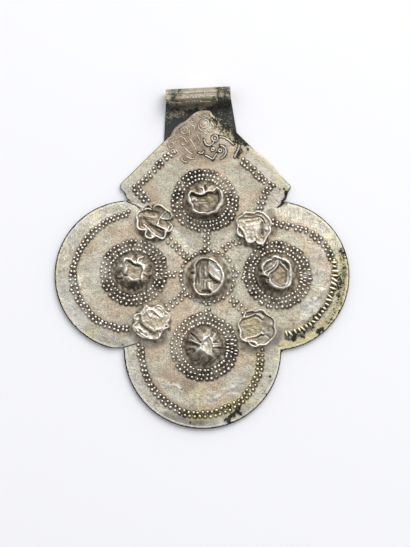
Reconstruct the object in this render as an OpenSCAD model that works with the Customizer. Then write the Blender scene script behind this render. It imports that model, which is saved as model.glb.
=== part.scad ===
// Silver pendant with four lobes, nine crushed bosses and a rolled bail, lying on its back.
// Millimetres. +X is to the right of the face, +Y towards the bail, +Z out of the face.
// The origin is on the floor, under the middle of the pendant.

/* [Sheets] */
// Thickness of the back sheet, whose tongue is rolled into the bail
back_t = 0.6; // [0.4:0.05:1]
// Thickness of the face sheet
face_t = 0.6; // [0.4:0.05:1]
// Space left between one piece and the next
gap = 0.05; // [0.02:0.01:0.1]
// How far the back sheet stands out past the edge of the face sheet
back_proud = 0.15; // [0:0.05:0.3]

/* [Lobes] */
// Centre of the left lobe
left_lobe = [-20.6, -5.05]; // [-25:0.05:25]
// Radius of the left lobe
left_lobe_r = 21.25; // [20:0.05:23]
// Level at which the foot of the left lobe is flattened, beside the bottom lobe
left_lobe_foot = -25.5; // [-27:0.1:-24]
// Centre of the right lobe
right_lobe = [20.8, -5.1]; // [-25:0.1:25]
// Radius of the right lobe
right_lobe_r = 21.15; // [20:0.05:23]
// Centre of the bottom lobe
bottom_lobe = [0.2, -26.35]; // [-30:0.05:30]
// Radius of the bottom lobe
bottom_lobe_r = 22.3; // [20:0.1:24]
// Radius of the soft corner between the right and bottom lobes
notch_r = 1.4; // [0.8:0.1:2]

/* [Roof] */
// Point where the two straight upper edges would meet
roof_peak = [0.9, 44.4]; // [-5:0.1:50]
// Left corner of the roof
roof_left = [-23.7, 20.4]; // [-30:0.1:30]
// Right corner of the roof
roof_right = [25.5, 20.2]; // [-30:0.1:30]
// Lower point of the roof, under the centre boss
roof_foot = [0.9, -4]; // [-10:0.1:10]
// Radius of the rounded peak
peak_r = 5.9; // [3:0.1:7]
// Radius of the left corner
left_corner_r = 1.2; // [0.5:0.1:2]
// Radius of the right corner
right_corner_r = 0.7; // [0.4:0.1:2]
// Width of the slits where the lobes have parted from their neighbours
slit_w = 0.3; // [0.2:0.05:0.5]

/* [Bail] */
// Outer radius of the rolled tube
bail_r = 2.7; // [2.3:0.1:3]
// Length of the tube
bail_len = 18.4; // [16:0.1:19]
// Middle of the tube's axis, seen from above
bail_at = [-1, 45.65]; // [-5:0.05:50]
// Turn of the bail against the face, in degrees
bail_turn = 2.8; // [0:0.1:4]
// How far round the sheet is rolled, in degrees
bail_roll = 317; // [290:1:317]
// Width of the tongue where it leaves the roof's edge
tongue_w = 21; // [19:0.1:22]
// How far below the tube's axis the tongue is widest, on its left and on its right
tongue_shoulders = [13, 11]; // [9:0.5:14]
// How far below the tube's axis the tongue ends under the roof
tongue_reach = 17; // [16:0.5:20]

/* [Dotted rows] */
// Width of the raised line that carries one row of punched dots
row_w = 0.8; // [0.4:0.1:0.9]
// Distance between two rows that run side by side
row_step = 1.2; // [1:0.05:1.5]
// Radius of the innermost ring round the four outer bosses
rosette_r = 6.9; // [6.5:0.1:7.2]
// Number of rings round the four outer bosses
rosette_rings = 3; // [1:1:3]
// Distance between one ring and the next
ring_step = 1.25; // [1:0.05:1.5]
// Radius of the ring round the centre boss
centre_ring_r = 7.4; // [7:0.1:7.8]

/* [Bosses] */
// Thickness of the sheet that the hollow bosses are raised from
boss_t = 0.45; // [0.3:0.05:0.6]
// Flat facets across each petal of a boss
petal_facets = 4; // [2:1:4]
// Depth of the grooves between the petals, as a share of the foot's radius
groove_share = 0.09; // [0:0.01:0.15]

/* [Hidden] */
// Each boss is a sheet dome whose crown has been pushed in. Columns: name, centre, half width and half
// height of its foot, number of petals, turn of the petals, height of the rim, depth of the crushed crown
// below the rim, and the rim's radius to the right and then every 45 degrees, anticlockwise.
BOSSES = [
    ["boss_centre", [1.75, -5.4], [5, 5.9], 11, 10, 3.6, 2.1, [4.4, 4.4, 5.1, 4.6, 3.9, 4.8, 4.9, 4.4]],
    ["boss_top", [1.05, 16.05], [5.3, 5.1], 10, 0, 3.7, 1.9, [4.6, 4.4, 2.6, 4.4, 4.2, 4, 3.4, 3.6]],
    ["boss_left", [-19.4, -3.75], [5.2, 5.2], 10, 14, 4.1, 1.5, [2.6, 2.7, 2.4, 3.4, 2.2, 2.2, 2.4, 2.9]],
    ["boss_right", [21.3, -4.45], [5.2, 5.2], 10, 8, 3.8, 1.7, [3.8, 4.1, 4, 4.4, 3.6, 2.8, 3.6, 4.1]],
    ["boss_bottom", [0.45, -24.9], [5.3, 5.2], 11, 4, 4.3, 0.6, [2.8, 2.8, 2.1, 1.6, 2, 1.5, 2.2, 2.7]],
    ["boss_upper_left", [-13.55, 10.25], [5.3, 4.9], 9, 20, 2.9, 1.2, [3.2, 4, 3.3, 3.8, 4, 3.6, 3.4, 3.9]],
    ["boss_upper_right", [14.85, 8.7], [5.2, 4.9], 10, 12, 2.7, 0.5, [4.6, 4.2, 4.1, 4.3, 4.5, 3.2, 4, 4.2]],
    ["boss_lower_left", [-14.35, -18.15], [5.4, 5], 10, 6, 3, 0.5, [4.6, 4.7, 4.5, 3.9, 2.8, 2.2, 2.4, 3.5]],
    ["boss_lower_right", [15.65, -20], [5.5, 5.4], 10, 18, 2.8, 1.3, [5, 4.8, 4.7, 4.7, 4.6, 4.8, 5, 4.8]]
];
// Share of the way from foot to rim at which the wall of a boss has a ring of points
WALL_STEPS = [0, 0.3, 0.6, 0.85, 1];
// Powers that make the wall of a boss leave the face steeply and lean in towards its rim
wall_lean = 1.7;
wall_rise = 0.75;
// Share of the rim's radius, and of the crater's depth, at each ring inside the rim
CRATER_STEPS = [[0.78, 0.7], [0.4, 1]];
// Middle and radius of the outer dotted row on a lobe, and the angles between which it runs
LOBE_ROWS = [
    [[-20.6, -3.9], 16.8, 88, 270],
    [[21.7, -6.2], 16.5, -84, 89],
    [[-0.4, -27.1], 17.8, 172, 357]
];
// Ends of the outer dotted rows on the roof, and the side to which the second row lies (1 is left of the
// way from the first end to the second)
ROOF_ROWS = [
    [[-19.2, 20.6], [-9.4, 29.8], -1],
    [[-19.4, 19.2], [-16.7, 16.3], 1],
    [[20.4, 20.8], [11.8, 28.1], 1],
    [[19.6, 19.6], [16.9, 14.9], -1]
];
// Slits in the face sheet, from the edge inwards: two points each
SLITS = [
    [[-22.6, 17.4], [-18.4, 14.9]],
    [[-22.6, -25.6], [-18.6, -24.5]]
];

face_z = back_t + gap;
top_z = face_z + face_t;
boss_z = top_z + gap;
wall_facets = 96;
row_facets = 16;
// Overlap that joins flat shapes which would only touch
overlap = 0.02;
// Bosses 1 to 4 in the table stand in rosettes of rings, the others have none
rosette_count = 4;
round_lobes = [[right_lobe, right_lobe_r], [bottom_lobe, bottom_lobe_r]];
centre_boss = BOSSES[0];

// A point moved along a straight line
function toward(from, to, distance) = from + (to - from) * distance / norm(to - from);
// The heading of a straight line, in degrees
function heading(from, to) = atan2(to.y - from.y, to.x - from.x);
// The point to one side of a line, square to it
function beside(from, to, distance) = let (a = heading(from, to) + 90) [cos(a), sin(a)] * distance;
// Where two circles meet, on the right of the way from the first centre to the second
function meeting(a, a_r, b, b_r) =
    let (
        span = norm(b - a),
        along = (span * span + a_r * a_r - b_r * b_r) / (2 * span),
        across = sqrt(a_r * a_r - along * along)
    )
    toward(a, b, along) + beside(a, b, -across);

// Half the angle at a corner of the roof
function half_angle(before, corner, after) =
    let (turn = abs(heading(corner, before) - heading(corner, after)))
    (turn > 180 ? 360 - turn : turn) / 2;

// Smooth value between the eight radii of a rim
function rim_r(radii, angle) =
    let (
        place = (((angle % 360) + 360) % 360) / 45,
        before = floor(place) % 8,
        share = (1 - cos((place - floor(place)) * 180)) / 2
    )
    radii[before] * (1 - share) + radii[(before + 1) % 8] * share;

// Radius of a boss's foot, grooved between its petals
function foot_r(half, petals, turn, angle) =
    let (
        oval = half.x * half.y / norm([half.y * cos(angle), half.x * sin(angle)]),
        groove = (1 - cos((angle - turn) * petals)) / 2
    )
    oval * (1 - groove_share * groove);

function ring_point(angle, radius, z) = [cos(angle) * radius, sin(angle) * radius, z];

// Rings of points up the wall of a boss, over its rim and down into its crushed crown. A skin of 0 gives the
// outside; the thickness of the sheet gives the inside, which lies inwards of the foot and below the crown.
function wall_rings(boss, sectors, skin) = [
    for (step = WALL_STEPS) [
        for (i = [0:sectors - 1])
            let (
                a = i * 360 / sectors,
                foot = foot_r(boss[2], boss[3], boss[4], a),
                rim = rim_r(boss[7], a),
                r = foot + (rim - foot) * pow(step, wall_lean)
            )
            ring_point(a, r - skin * (1 - step), boss[5] * pow(step, wall_rise) - skin * step)
    ]
];
function crater_rings(boss, sectors, skin) = [
    for (step = CRATER_STEPS) [
        for (i = [0:sectors - 1])
            let (a = i * 360 / sectors)
            ring_point(a, rim_r(boss[7], a) * step[0], boss[5] - boss[6] * step[1] - skin)
    ]
];
function boss_rings(boss, sectors, skin) =
    concat(wall_rings(boss, sectors, skin), crater_rings(boss, sectors, skin));

// Two triangles for each facet between one ring of points and the next, by the index of their first points
function band(low, high, sectors) = [
    for (i = [0:sectors - 1])
        let (j = (i + 1) % sectors)
        each [[low + i, high + j, low + j], [low + i, high + i, high + j]]
];
// A fan of triangles from a ring of points to one middle point
function fan(ring, middle, sectors) = [
    for (i = [0:sectors - 1]) [middle, ring + (i + 1) % sectors, ring + i]
];
function turned_over(faces) = [for (face = faces) [face[0], face[2], face[1]]];

// One boss: a hollow dome of thin sheet, open below, with its foot on the face sheet
module boss(row) {
    sectors = row[3] * petal_facets;
    outside = boss_rings(row, sectors, 0);
    inside = boss_rings(row, sectors, boss_t);
    points = [for (ring = concat(outside, inside)) each ring];
    ring_count = len(outside);
    inner = ring_count * sectors;
    crown = 2 * inner;
    under_crown = crown + 1;
    crown_z = row[5] - row[6];
    skin = [for (k = [0:ring_count - 2]) each band(k * sectors, (k + 1) * sectors, sectors)];
    lining = [
        for (k = [0:ring_count - 2])
            each band(inner + k * sectors, inner + (k + 1) * sectors, sectors)
    ];
    faces = concat(
        skin,
        fan(inner - sectors, crown, sectors),
        turned_over(lining),
        turned_over(fan(crown - sectors, under_crown, sectors)),
        band(inner, 0, sectors)
    );
    color("gainsboro")
        translate([row[1].x, row[1].y, boss_z])
            polyhedron(concat(points, [[0, 0, crown_z], [0, 0, crown_z - boss_t]]), faces, convexity = 8);
}

// A disc that rounds one corner of the roof, and reaches a hair past its straight edges
module corner_disc(before, corner, after, r, grow) {
    half = half_angle(before, corner, after);
    middle = (toward(corner, before, 1) + toward(corner, after, 1)) / 2;
    translate(toward(corner, middle, r / sin(half)))
        circle(r = r + grow + overlap / 2, $fn = wall_facets);
}

// The roof without its three upper corners, grown by moving each straight edge out
module roof_2d(grow) {
    peak_cut = peak_r / tan(half_angle(roof_left, roof_peak, roof_right));
    left_cut = left_corner_r / tan(half_angle(roof_foot, roof_left, roof_peak));
    right_cut = right_corner_r / tan(half_angle(roof_peak, roof_right, roof_foot));
    left_out = beside(roof_left, roof_peak, grow);
    right_out = beside(roof_peak, roof_right, grow);
    low_left_out = beside(roof_foot, roof_left, grow);
    low_right_out = beside(roof_right, roof_foot, grow);
    polygon([
        roof_foot,
        toward(roof_right, roof_foot, right_cut) + low_right_out,
        toward(roof_right, roof_peak, right_cut) + right_out,
        toward(roof_peak, roof_right, peak_cut) + right_out,
        toward(roof_peak, roof_left, peak_cut) + left_out,
        toward(roof_left, roof_peak, left_cut) + left_out,
        toward(roof_left, roof_foot, left_cut) + low_left_out
    ]);
    corner_disc(roof_left, roof_peak, roof_right, peak_r, grow);
    corner_disc(roof_foot, roof_left, roof_peak, left_corner_r, grow);
    corner_disc(roof_peak, roof_right, roof_foot, right_corner_r, grow);
}

// The soft corner between the right and bottom lobes
module soft_notch_2d(grow) {
    right_r = right_lobe_r + grow;
    bottom_r = bottom_lobe_r + grow;
    away = notch_r - overlap;
    hollow = meeting(bottom_lobe, bottom_r + away, right_lobe, right_r + away);
    difference() {
        polygon([
            meeting(bottom_lobe, bottom_r - notch_r, right_lobe, right_r - notch_r),
            toward(bottom_lobe, hollow, bottom_r - slit_w),
            hollow,
            toward(right_lobe, hollow, right_r - slit_w)
        ]);
        translate(hollow)
            circle(r = notch_r, $fn = wall_facets);
    }
}

// The left lobe, with its flat foot
module left_lobe_2d(grow) {
    r = left_lobe_r + grow;
    difference() {
        translate(left_lobe)
            circle(r = r, $fn = wall_facets * 2);
        translate([left_lobe.x - r, left_lobe_foot - grow - r])
            square([2 * r, r]);
    }
}

// Outline that both sheets are cut to
module outline_2d(grow) {
    roof_2d(grow);
    soft_notch_2d(grow);
    left_lobe_2d(grow);
    for (lobe = round_lobes)
        translate(lobe[0])
            circle(r = lobe[1] + grow, $fn = wall_facets * 2);
}

// A narrow straight slit
module slit_2d(from, to) {
    translate(from)
        rotate(heading(from, to))
            translate([0, -slit_w / 2])
                square([norm(to - from), slit_w]);
}

// The tongue of the back sheet, from under the roof to the bottom of the tube
module tongue_2d() {
    translate(bail_at)
        rotate(bail_turn)
            polygon([
                [-bail_len / 2, 0],
                [-tongue_w / 2, -tongue_shoulders[0]],
                [-tongue_w / 3, -tongue_reach],
                [tongue_w / 3, -tongue_reach],
                [tongue_w / 2, -tongue_shoulders[1]],
                [bail_len / 2, 0]
            ]);
}

// The tube, rolled forward from the bottom until its lip almost meets the tongue
module rolled_tube() {
    translate([bail_at.x, bail_at.y, bail_r])
        rotate(bail_turn)
            rotate([0, 90, 0])
                translate([0, 0, -bail_len / 2])
                    rotate_extrude(angle = bail_roll, $fn = wall_facets)
                        translate([bail_r - back_t, 0])
                            square([back_t, bail_len]);
}

// A raised line along an arc, half sunk in the face sheet
module arc_row(centre, r, from, to) {
    translate([centre.x, centre.y, top_z])
        rotate(from)
            rotate_extrude(angle = to - from, $fn = wall_facets)
                translate([r, 0])
                    circle(r = row_w / 2, $fn = row_facets);
}

// A raised closed ring, half sunk in the face sheet
module ring_row(centre, r) {
    translate([centre.x, centre.y, top_z])
        rotate_extrude($fn = wall_facets)
            translate([r, 0])
                circle(r = row_w / 2, $fn = row_facets);
}

// A raised straight line, half sunk in the face sheet
module line_row(from, to) {
    translate([from.x, from.y, top_z])
        rotate([0, 90, heading(from, to)])
            cylinder(r = row_w / 2, h = norm(to - from), $fn = row_facets);
}

// Two raised lines, side by side
module double_line(from, to, side) {
    shift = beside(from, to, side * row_step);
    line_row(from, to);
    line_row(from + shift, to + shift);
}

module lobe_rows() {
    for (row = LOBE_ROWS, k = [0, 1])
        arc_row(row[0], row[1] - k * row_step, row[2], row[3]);
}

module rosette_rows() {
    for (i = [1:rosette_count], k = [0:rosette_rings - 1])
        ring_row(BOSSES[i][1], rosette_r + k * ring_step);
}

// Short double lines that tie the centre ring to the eight bosses round it
module link_rows() {
    for (i = [1:len(BOSSES) - 1]) {
        there = BOSSES[i][1];
        outer_reach = i > rosette_count
            ? max(BOSSES[i][2]) + row_w
            : rosette_r + (rosette_rings - 1) * ring_step + row_w;
        from = toward(centre_boss[1], there, centre_ring_r + row_w);
        to = toward(there, centre_boss[1], outer_reach);
        shift = beside(from, to, row_step / 2);
        line_row(from + shift, to + shift);
        line_row(from - shift, to - shift);
    }
}

module back_sheet_with_bail() {
    color("dimgray") {
        linear_extrude(back_t) {
            outline_2d(back_proud);
            tongue_2d();
        }
        rolled_tube();
    }
}

module face_sheet() {
    color("silver") {
        translate([0, 0, face_z])
            linear_extrude(face_t)
                difference() {
                    outline_2d(0);
                    for (slit = SLITS)
                        slit_2d(slit[0], slit[1]);
                }
        lobe_rows();
        rosette_rows();
        ring_row(centre_boss[1], centre_ring_r);
        link_rows();
        for (row = ROOF_ROWS)
            double_line(row[0], row[1], row[2]);
    }
}

back_sheet_with_bail();
face_sheet();
for (row = BOSSES)
    boss(row);
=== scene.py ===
import bpy
import math
import numpy as np
from mathutils import Matrix, Vector
from mathutils.kdtree import KDTree


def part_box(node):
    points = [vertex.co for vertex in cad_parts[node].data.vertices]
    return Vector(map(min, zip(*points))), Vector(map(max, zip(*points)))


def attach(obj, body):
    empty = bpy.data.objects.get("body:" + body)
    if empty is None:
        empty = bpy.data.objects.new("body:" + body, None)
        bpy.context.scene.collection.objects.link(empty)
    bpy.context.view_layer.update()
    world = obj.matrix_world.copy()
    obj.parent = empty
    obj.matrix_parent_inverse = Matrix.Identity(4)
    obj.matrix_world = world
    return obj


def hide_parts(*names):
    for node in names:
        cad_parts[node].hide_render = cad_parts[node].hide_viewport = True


# Silver pendant with crushed bosses, dotted rows and a rolled bail, lying face up.
# Lengths in the dictionaries are millimetres, in the pendant's own frame. Blender works in metres.

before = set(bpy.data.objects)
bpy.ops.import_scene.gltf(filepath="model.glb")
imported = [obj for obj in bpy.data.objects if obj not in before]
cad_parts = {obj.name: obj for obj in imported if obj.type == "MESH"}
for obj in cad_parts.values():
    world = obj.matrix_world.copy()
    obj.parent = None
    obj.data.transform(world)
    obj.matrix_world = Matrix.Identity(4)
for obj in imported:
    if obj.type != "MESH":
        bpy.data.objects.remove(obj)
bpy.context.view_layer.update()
mm = 0.001
crispAngle = math.radians(50)  # edges sharper than this aren't smoothed
flatAngle = math.radians(0.5)  # faces as level with each other as this become one
seatGap = 0.05
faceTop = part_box("boss_centre")[0].z / mm - seatGap


def deselectAll():
    bpy.ops.object.select_all(action="DESELECT")


def takeUp(obj):
    deselectAll()
    obj.select_set(True)
    bpy.context.view_layer.objects.active = obj


def openMesh(obj):
    takeUp(obj)
    bpy.ops.object.mode_set(mode="EDIT")
    bpy.ops.mesh.select_all(action="SELECT")


# Normals outward, and back to object mode
def closeMesh():
    bpy.ops.mesh.select_all(action="SELECT")
    bpy.ops.mesh.normals_make_consistent(inside=False)
    bpy.ops.object.mode_set(mode="OBJECT")


def joinAll(parts):
    takeUp(parts[0])
    for part in parts[1:]:
        part.select_set(True)
    bpy.ops.object.join()
    return parts[0]


def useModifier(obj, kind, **settings):
    takeUp(obj)
    modifier = obj.modifiers.new(kind.title(), kind)
    for name, value in settings.items():
        setattr(modifier, name, value)
    bpy.ops.object.modifier_apply(modifier=modifier.name)


def pointsOf(obj):
    points = np.empty(len(obj.data.vertices) * 3)
    obj.data.vertices.foreach_get("co", points)
    return points.reshape(-1, 3) / mm


def movePoints(obj, points):
    obj.data.vertices.foreach_set("co", (points * mm).ravel())
    obj.data.update()


def paint(obj, name, values):
    layer = obj.data.attributes.get(name) or obj.data.attributes.new(name, "FLOAT", "POINT")
    layer.data.foreach_set("value", np.clip(values, 0, 1).astype(np.float32))


def smoothStep(low, high, value):
    share = np.clip((value - low) / (high - low), 0, 1)
    return share * share * (3 - 2 * share)


# How far each point lies from a line of points, seen from above
def distanceTo(x, y, line):
    best = np.full(len(x), 1e9)
    for (ax, ay), (bx, by) in zip(line[:-1], line[1:]):
        dx, dy = bx - ax, by - ay
        along = np.clip(((x - ax) * dx + (y - ay) * dy) / (dx * dx + dy * dy + 1e-9), 0, 1)
        best = np.minimum(best, np.hypot(x - ax - along * dx, y - ay - along * dy))
    return best


# Which points lie inside a closed outline
def insideOf(x, y, outline):
    inside = np.zeros(len(x), bool)
    for (ax, ay), (bx, by) in zip(outline, outline[1:] + outline[:1]):
        crosses = (ay > y) != (by > y)
        inside ^= crosses & (x < (bx - ax) * (y - ay) / (by - ay + 1e-12) + ax)
    return inside


# 1 inside an outline and 0 outside, soft across the line
def within(x, y, outline, softness):
    edge = distanceTo(x, y, outline + outline[:1])
    return smoothStep(-softness, softness, np.where(insideOf(x, y, outline), edge, -edge))


# Soft uneven waves, mostly between -1 and 1
def ripples(x, y, wavelength, seed):
    draw = np.random.default_rng(seed)
    total = np.zeros(len(x))
    for _ in range(7):
        way = draw.uniform(0, 2 * math.pi)
        size = wavelength * draw.uniform(0.7, 1.6)
        total += np.sin((x * math.cos(way) + y * math.sin(way)) * 2 * math.pi / size + draw.uniform(0, 6.3))
    return total / 3


# How far each point stands below (positive) or above (negative) the run of its neighbours
def hollowness(obj, rounds):
    points = pointsOf(obj)
    ends = np.empty(len(obj.data.edges) * 2, np.int64)
    obj.data.edges.foreach_get("vertices", ends)
    a, b = ends[0::2], ends[1::2]
    count = np.bincount(ends, minlength=len(points)).astype(float)
    height = points[:, 2].copy()
    for _ in range(rounds):
        total = np.bincount(a, height[b], len(points)) + np.bincount(b, height[a], len(points))
        height = 0.5 * height + 0.5 * total / np.maximum(count, 1)
    return height - points[:, 2]


def finishPiece(obj, name, material, slotName, *standsFor):
    obj.name = obj.data.name = name
    obj.data.materials.clear()
    obj.data.materials.append(material)
    takeUp(obj)
    bpy.ops.object.shade_smooth_by_angle(angle=crispAngle)
    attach(obj, "root")
    if standsFor:
        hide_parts(*standsFor)
    return obj


studio = {
    "cameraHeight": 900, "viewHeight": 155.9, "viewMiddle": (0.89, -4.46),
    "floorSize": 3000, "floorColour": (0.93, 0.93, 0.955),
    "roomColour": (0.975, 0.98, 1.0), "overhead": 0.67, "towardsWindow": (0.10, 0.56, 0.0), "shownRoom": 0.95,
    "window": {"place": (330, 720, 800), "size": 800, "watts": 7.6},
}


# The room is brighter towards the window, and its far walls look evenly pale
def setUpRoom():
    world = bpy.data.worlds.new("paleRoom")
    world.use_nodes = True
    tree = world.node_tree
    sky = tree.nodes["Background"]
    sky.inputs["Color"].default_value = (*studio["roomColour"], 1)
    way = tree.nodes.new("ShaderNodeTexCoord")
    lean = tree.nodes.new("ShaderNodeVectorMath")
    lean.operation = "DOT_PRODUCT"
    lean.inputs[1].default_value = studio["towardsWindow"]
    tree.links.new(way.outputs["Generated"], lean.inputs[0])
    light = tree.nodes.new("ShaderNodeMath")
    light.operation = "ADD"
    light.inputs[1].default_value = studio["overhead"]
    tree.links.new(lean.outputs["Value"], light.inputs[0])
    ray = tree.nodes.new("ShaderNodeLightPath")
    seen = tree.nodes.new("ShaderNodeMix")
    seen.data_type = "FLOAT"
    tree.links.new(ray.outputs["Is Camera Ray"], seen.inputs["Factor"])
    tree.links.new(light.outputs[0], seen.inputs[2])
    seen.inputs[3].default_value = studio["shownRoom"]
    tree.links.new(seen.outputs[0], sky.inputs["Strength"])
    bpy.context.scene.world = world


def setUpStudio():
    scene = bpy.context.scene
    scene.view_settings.view_transform = "Standard"
    scene.view_settings.look = "None"
    x, y = studio["viewMiddle"]
    high = studio["cameraHeight"]
    bpy.ops.object.camera_add(location=(x * mm, y * mm, (high + faceTop) * mm), rotation=(0, 0, 0))
    camera = bpy.context.object
    camera.name = "photoCamera"
    camera.data.sensor_width = 36
    camera.data.lens = 36 * high / studio["viewHeight"]
    camera.data.clip_start = 0.01
    camera.data.clip_end = 20
    scene.camera = camera
    light = studio["window"]
    place = Vector(light["place"]) * mm
    bpy.ops.object.light_add(type="AREA", location=place)
    lamp = bpy.context.object
    lamp.name = "windowLight"
    lamp.rotation_mode = "QUATERNION"
    lamp.rotation_quaternion = (-place).to_track_quat("-Z", "Y")
    lamp.data.shape = "SQUARE"
    lamp.data.size = light["size"] * mm
    lamp.data.energy = light["watts"]
    setUpRoom()
    deselectAll()
    bpy.ops.mesh.primitive_plane_add(size=studio["floorSize"] * mm, location=(0, 0, -0.02 * mm))
    floor = bpy.context.object
    floor.name = "floor"
    bpy.ops.object.transform_apply(location=True, rotation=True, scale=True)
    paper = bpy.data.materials.new("palePaper")
    paper.use_nodes = True
    shader = paper.node_tree.nodes["Principled BSDF"]
    shader.inputs["Base Color"].default_value = (*studio["floorColour"], 1)
    shader.inputs["Roughness"].default_value = 0.9
    shader.inputs["Specular IOR Level"].default_value = 0.1
    floor.data.materials.append(paper)


setUpStudio()
print("studio ready")


def addNode(tree, kind, **settings):
    node = tree.nodes.new(kind)
    for name, value in settings.items():
        setattr(node, name, value)
    return node


def feed(tree, socket, value):
    if isinstance(value, bpy.types.NodeSocket):
        tree.links.new(value, socket)
    elif isinstance(value, tuple) and len(value) == 3 and socket.type == "RGBA":
        socket.default_value = (*value, 1)
    else:
        socket.default_value = value


def reckon(tree, operation, first, second=0.0, clamp=False):
    node = addNode(tree, "ShaderNodeMath", operation=operation, use_clamp=clamp)
    feed(tree, node.inputs[0], first)
    feed(tree, node.inputs[1], second)
    return node.outputs[0]


def rangeOf(tree, value, low, high, start=0.0, end=1.0):
    node = addNode(tree, "ShaderNodeMapRange", interpolation_type="SMOOTHSTEP")
    for socket, number in zip(node.inputs[:5], (value, low, high, start, end)):
        feed(tree, socket, number)
    return node.outputs[0]


def blendColour(tree, share, first, second):
    node = addNode(tree, "ShaderNodeMix", data_type="RGBA")
    feed(tree, node.inputs["Factor"], share)
    feed(tree, node.inputs[6], first)
    feed(tree, node.inputs[7], second)
    return node.outputs[2]


def cloud(tree, place, scale, detail, roughness):
    node = addNode(tree, "ShaderNodeTexNoise", noise_dimensions="3D")
    feed(tree, node.inputs["Vector"], place)
    feed(tree, node.inputs["Scale"], scale)
    feed(tree, node.inputs["Detail"], detail)
    feed(tree, node.inputs["Roughness"], roughness)
    return node.outputs["Fac"]


def newGroup(name, takes, gives):
    tree = bpy.data.node_groups.new(name, "ShaderNodeTree")
    for label, kind, default in takes:
        socket = tree.interface.new_socket(name=label, in_out="INPUT", socket_type=kind)
        if default is not None:
            socket.default_value = default
    for label, kind in gives:
        tree.interface.new_socket(name=label, in_out="OUTPUT", socket_type=kind)
    return tree, addNode(tree, "NodeGroupInput"), addNode(tree, "NodeGroupOutput")


# Fine scratches in several directions, as a height
def makeScratchGroup():
    tree, start, end = newGroup(
        "fineScratches",
        [("Place", "NodeSocketVector", None), ("Density", "NodeSocketFloat", 0.5)],
        [("Height", "NodeSocketFloat")])
    total = None
    for turn, stretch in ((25, 30), (118, 22), (71, 40)):
        spun = addNode(tree, "ShaderNodeMapping")
        feed(tree, spun.inputs["Vector"], start.outputs["Place"])
        spun.inputs["Rotation"].default_value = (0, 0, math.radians(turn))
        spun.inputs["Scale"].default_value = (2600, 2600 / stretch, 400)
        mark = rangeOf(tree, cloud(tree, spun.outputs[0], 1.0, 2.0, 0.5), 0.62, 0.72)
        total = mark if total is None else reckon(tree, "MAXIMUM", total, mark)
    feed(tree, end.inputs["Height"], reckon(tree, "MULTIPLY", total, start.outputs["Density"]))
    return tree


# Worn silver with painted light and shade: masks painted on the piece are broken up by cloudy noise
silverMasks = ("patina_and_shade", "stain_and_shadow", "gold", "cool", "green", "rub_and_sheen", "warm")
silverTints = {
    "brown": (0.42, 0.325, 0.235), "warm": (0.47, 0.365, 0.265), "cool": (0.655, 0.635, 0.545),
    "gold": (0.735, 0.66, 0.40), "patina_and_shade": (0.092, 0.071, 0.053), "speck": (0.22, 0.165, 0.11),
    "rub_and_sheen": (0.95, 0.92, 0.84), "goldRubAndSheen": (0.88, 0.80, 0.50), "green": (0.12, 0.20, 0.15),
}
silverNoise = {  # scale, detail, roughness
    "broad": (130.0, 3.0, 0.55), "middling": (520.0, 4.0, 0.6), "fine": (2000.0, 4.0, 0.74),
    "specks": (1300.0, 3.0, 0.55),
}
bumpDepth = 0.12


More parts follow.
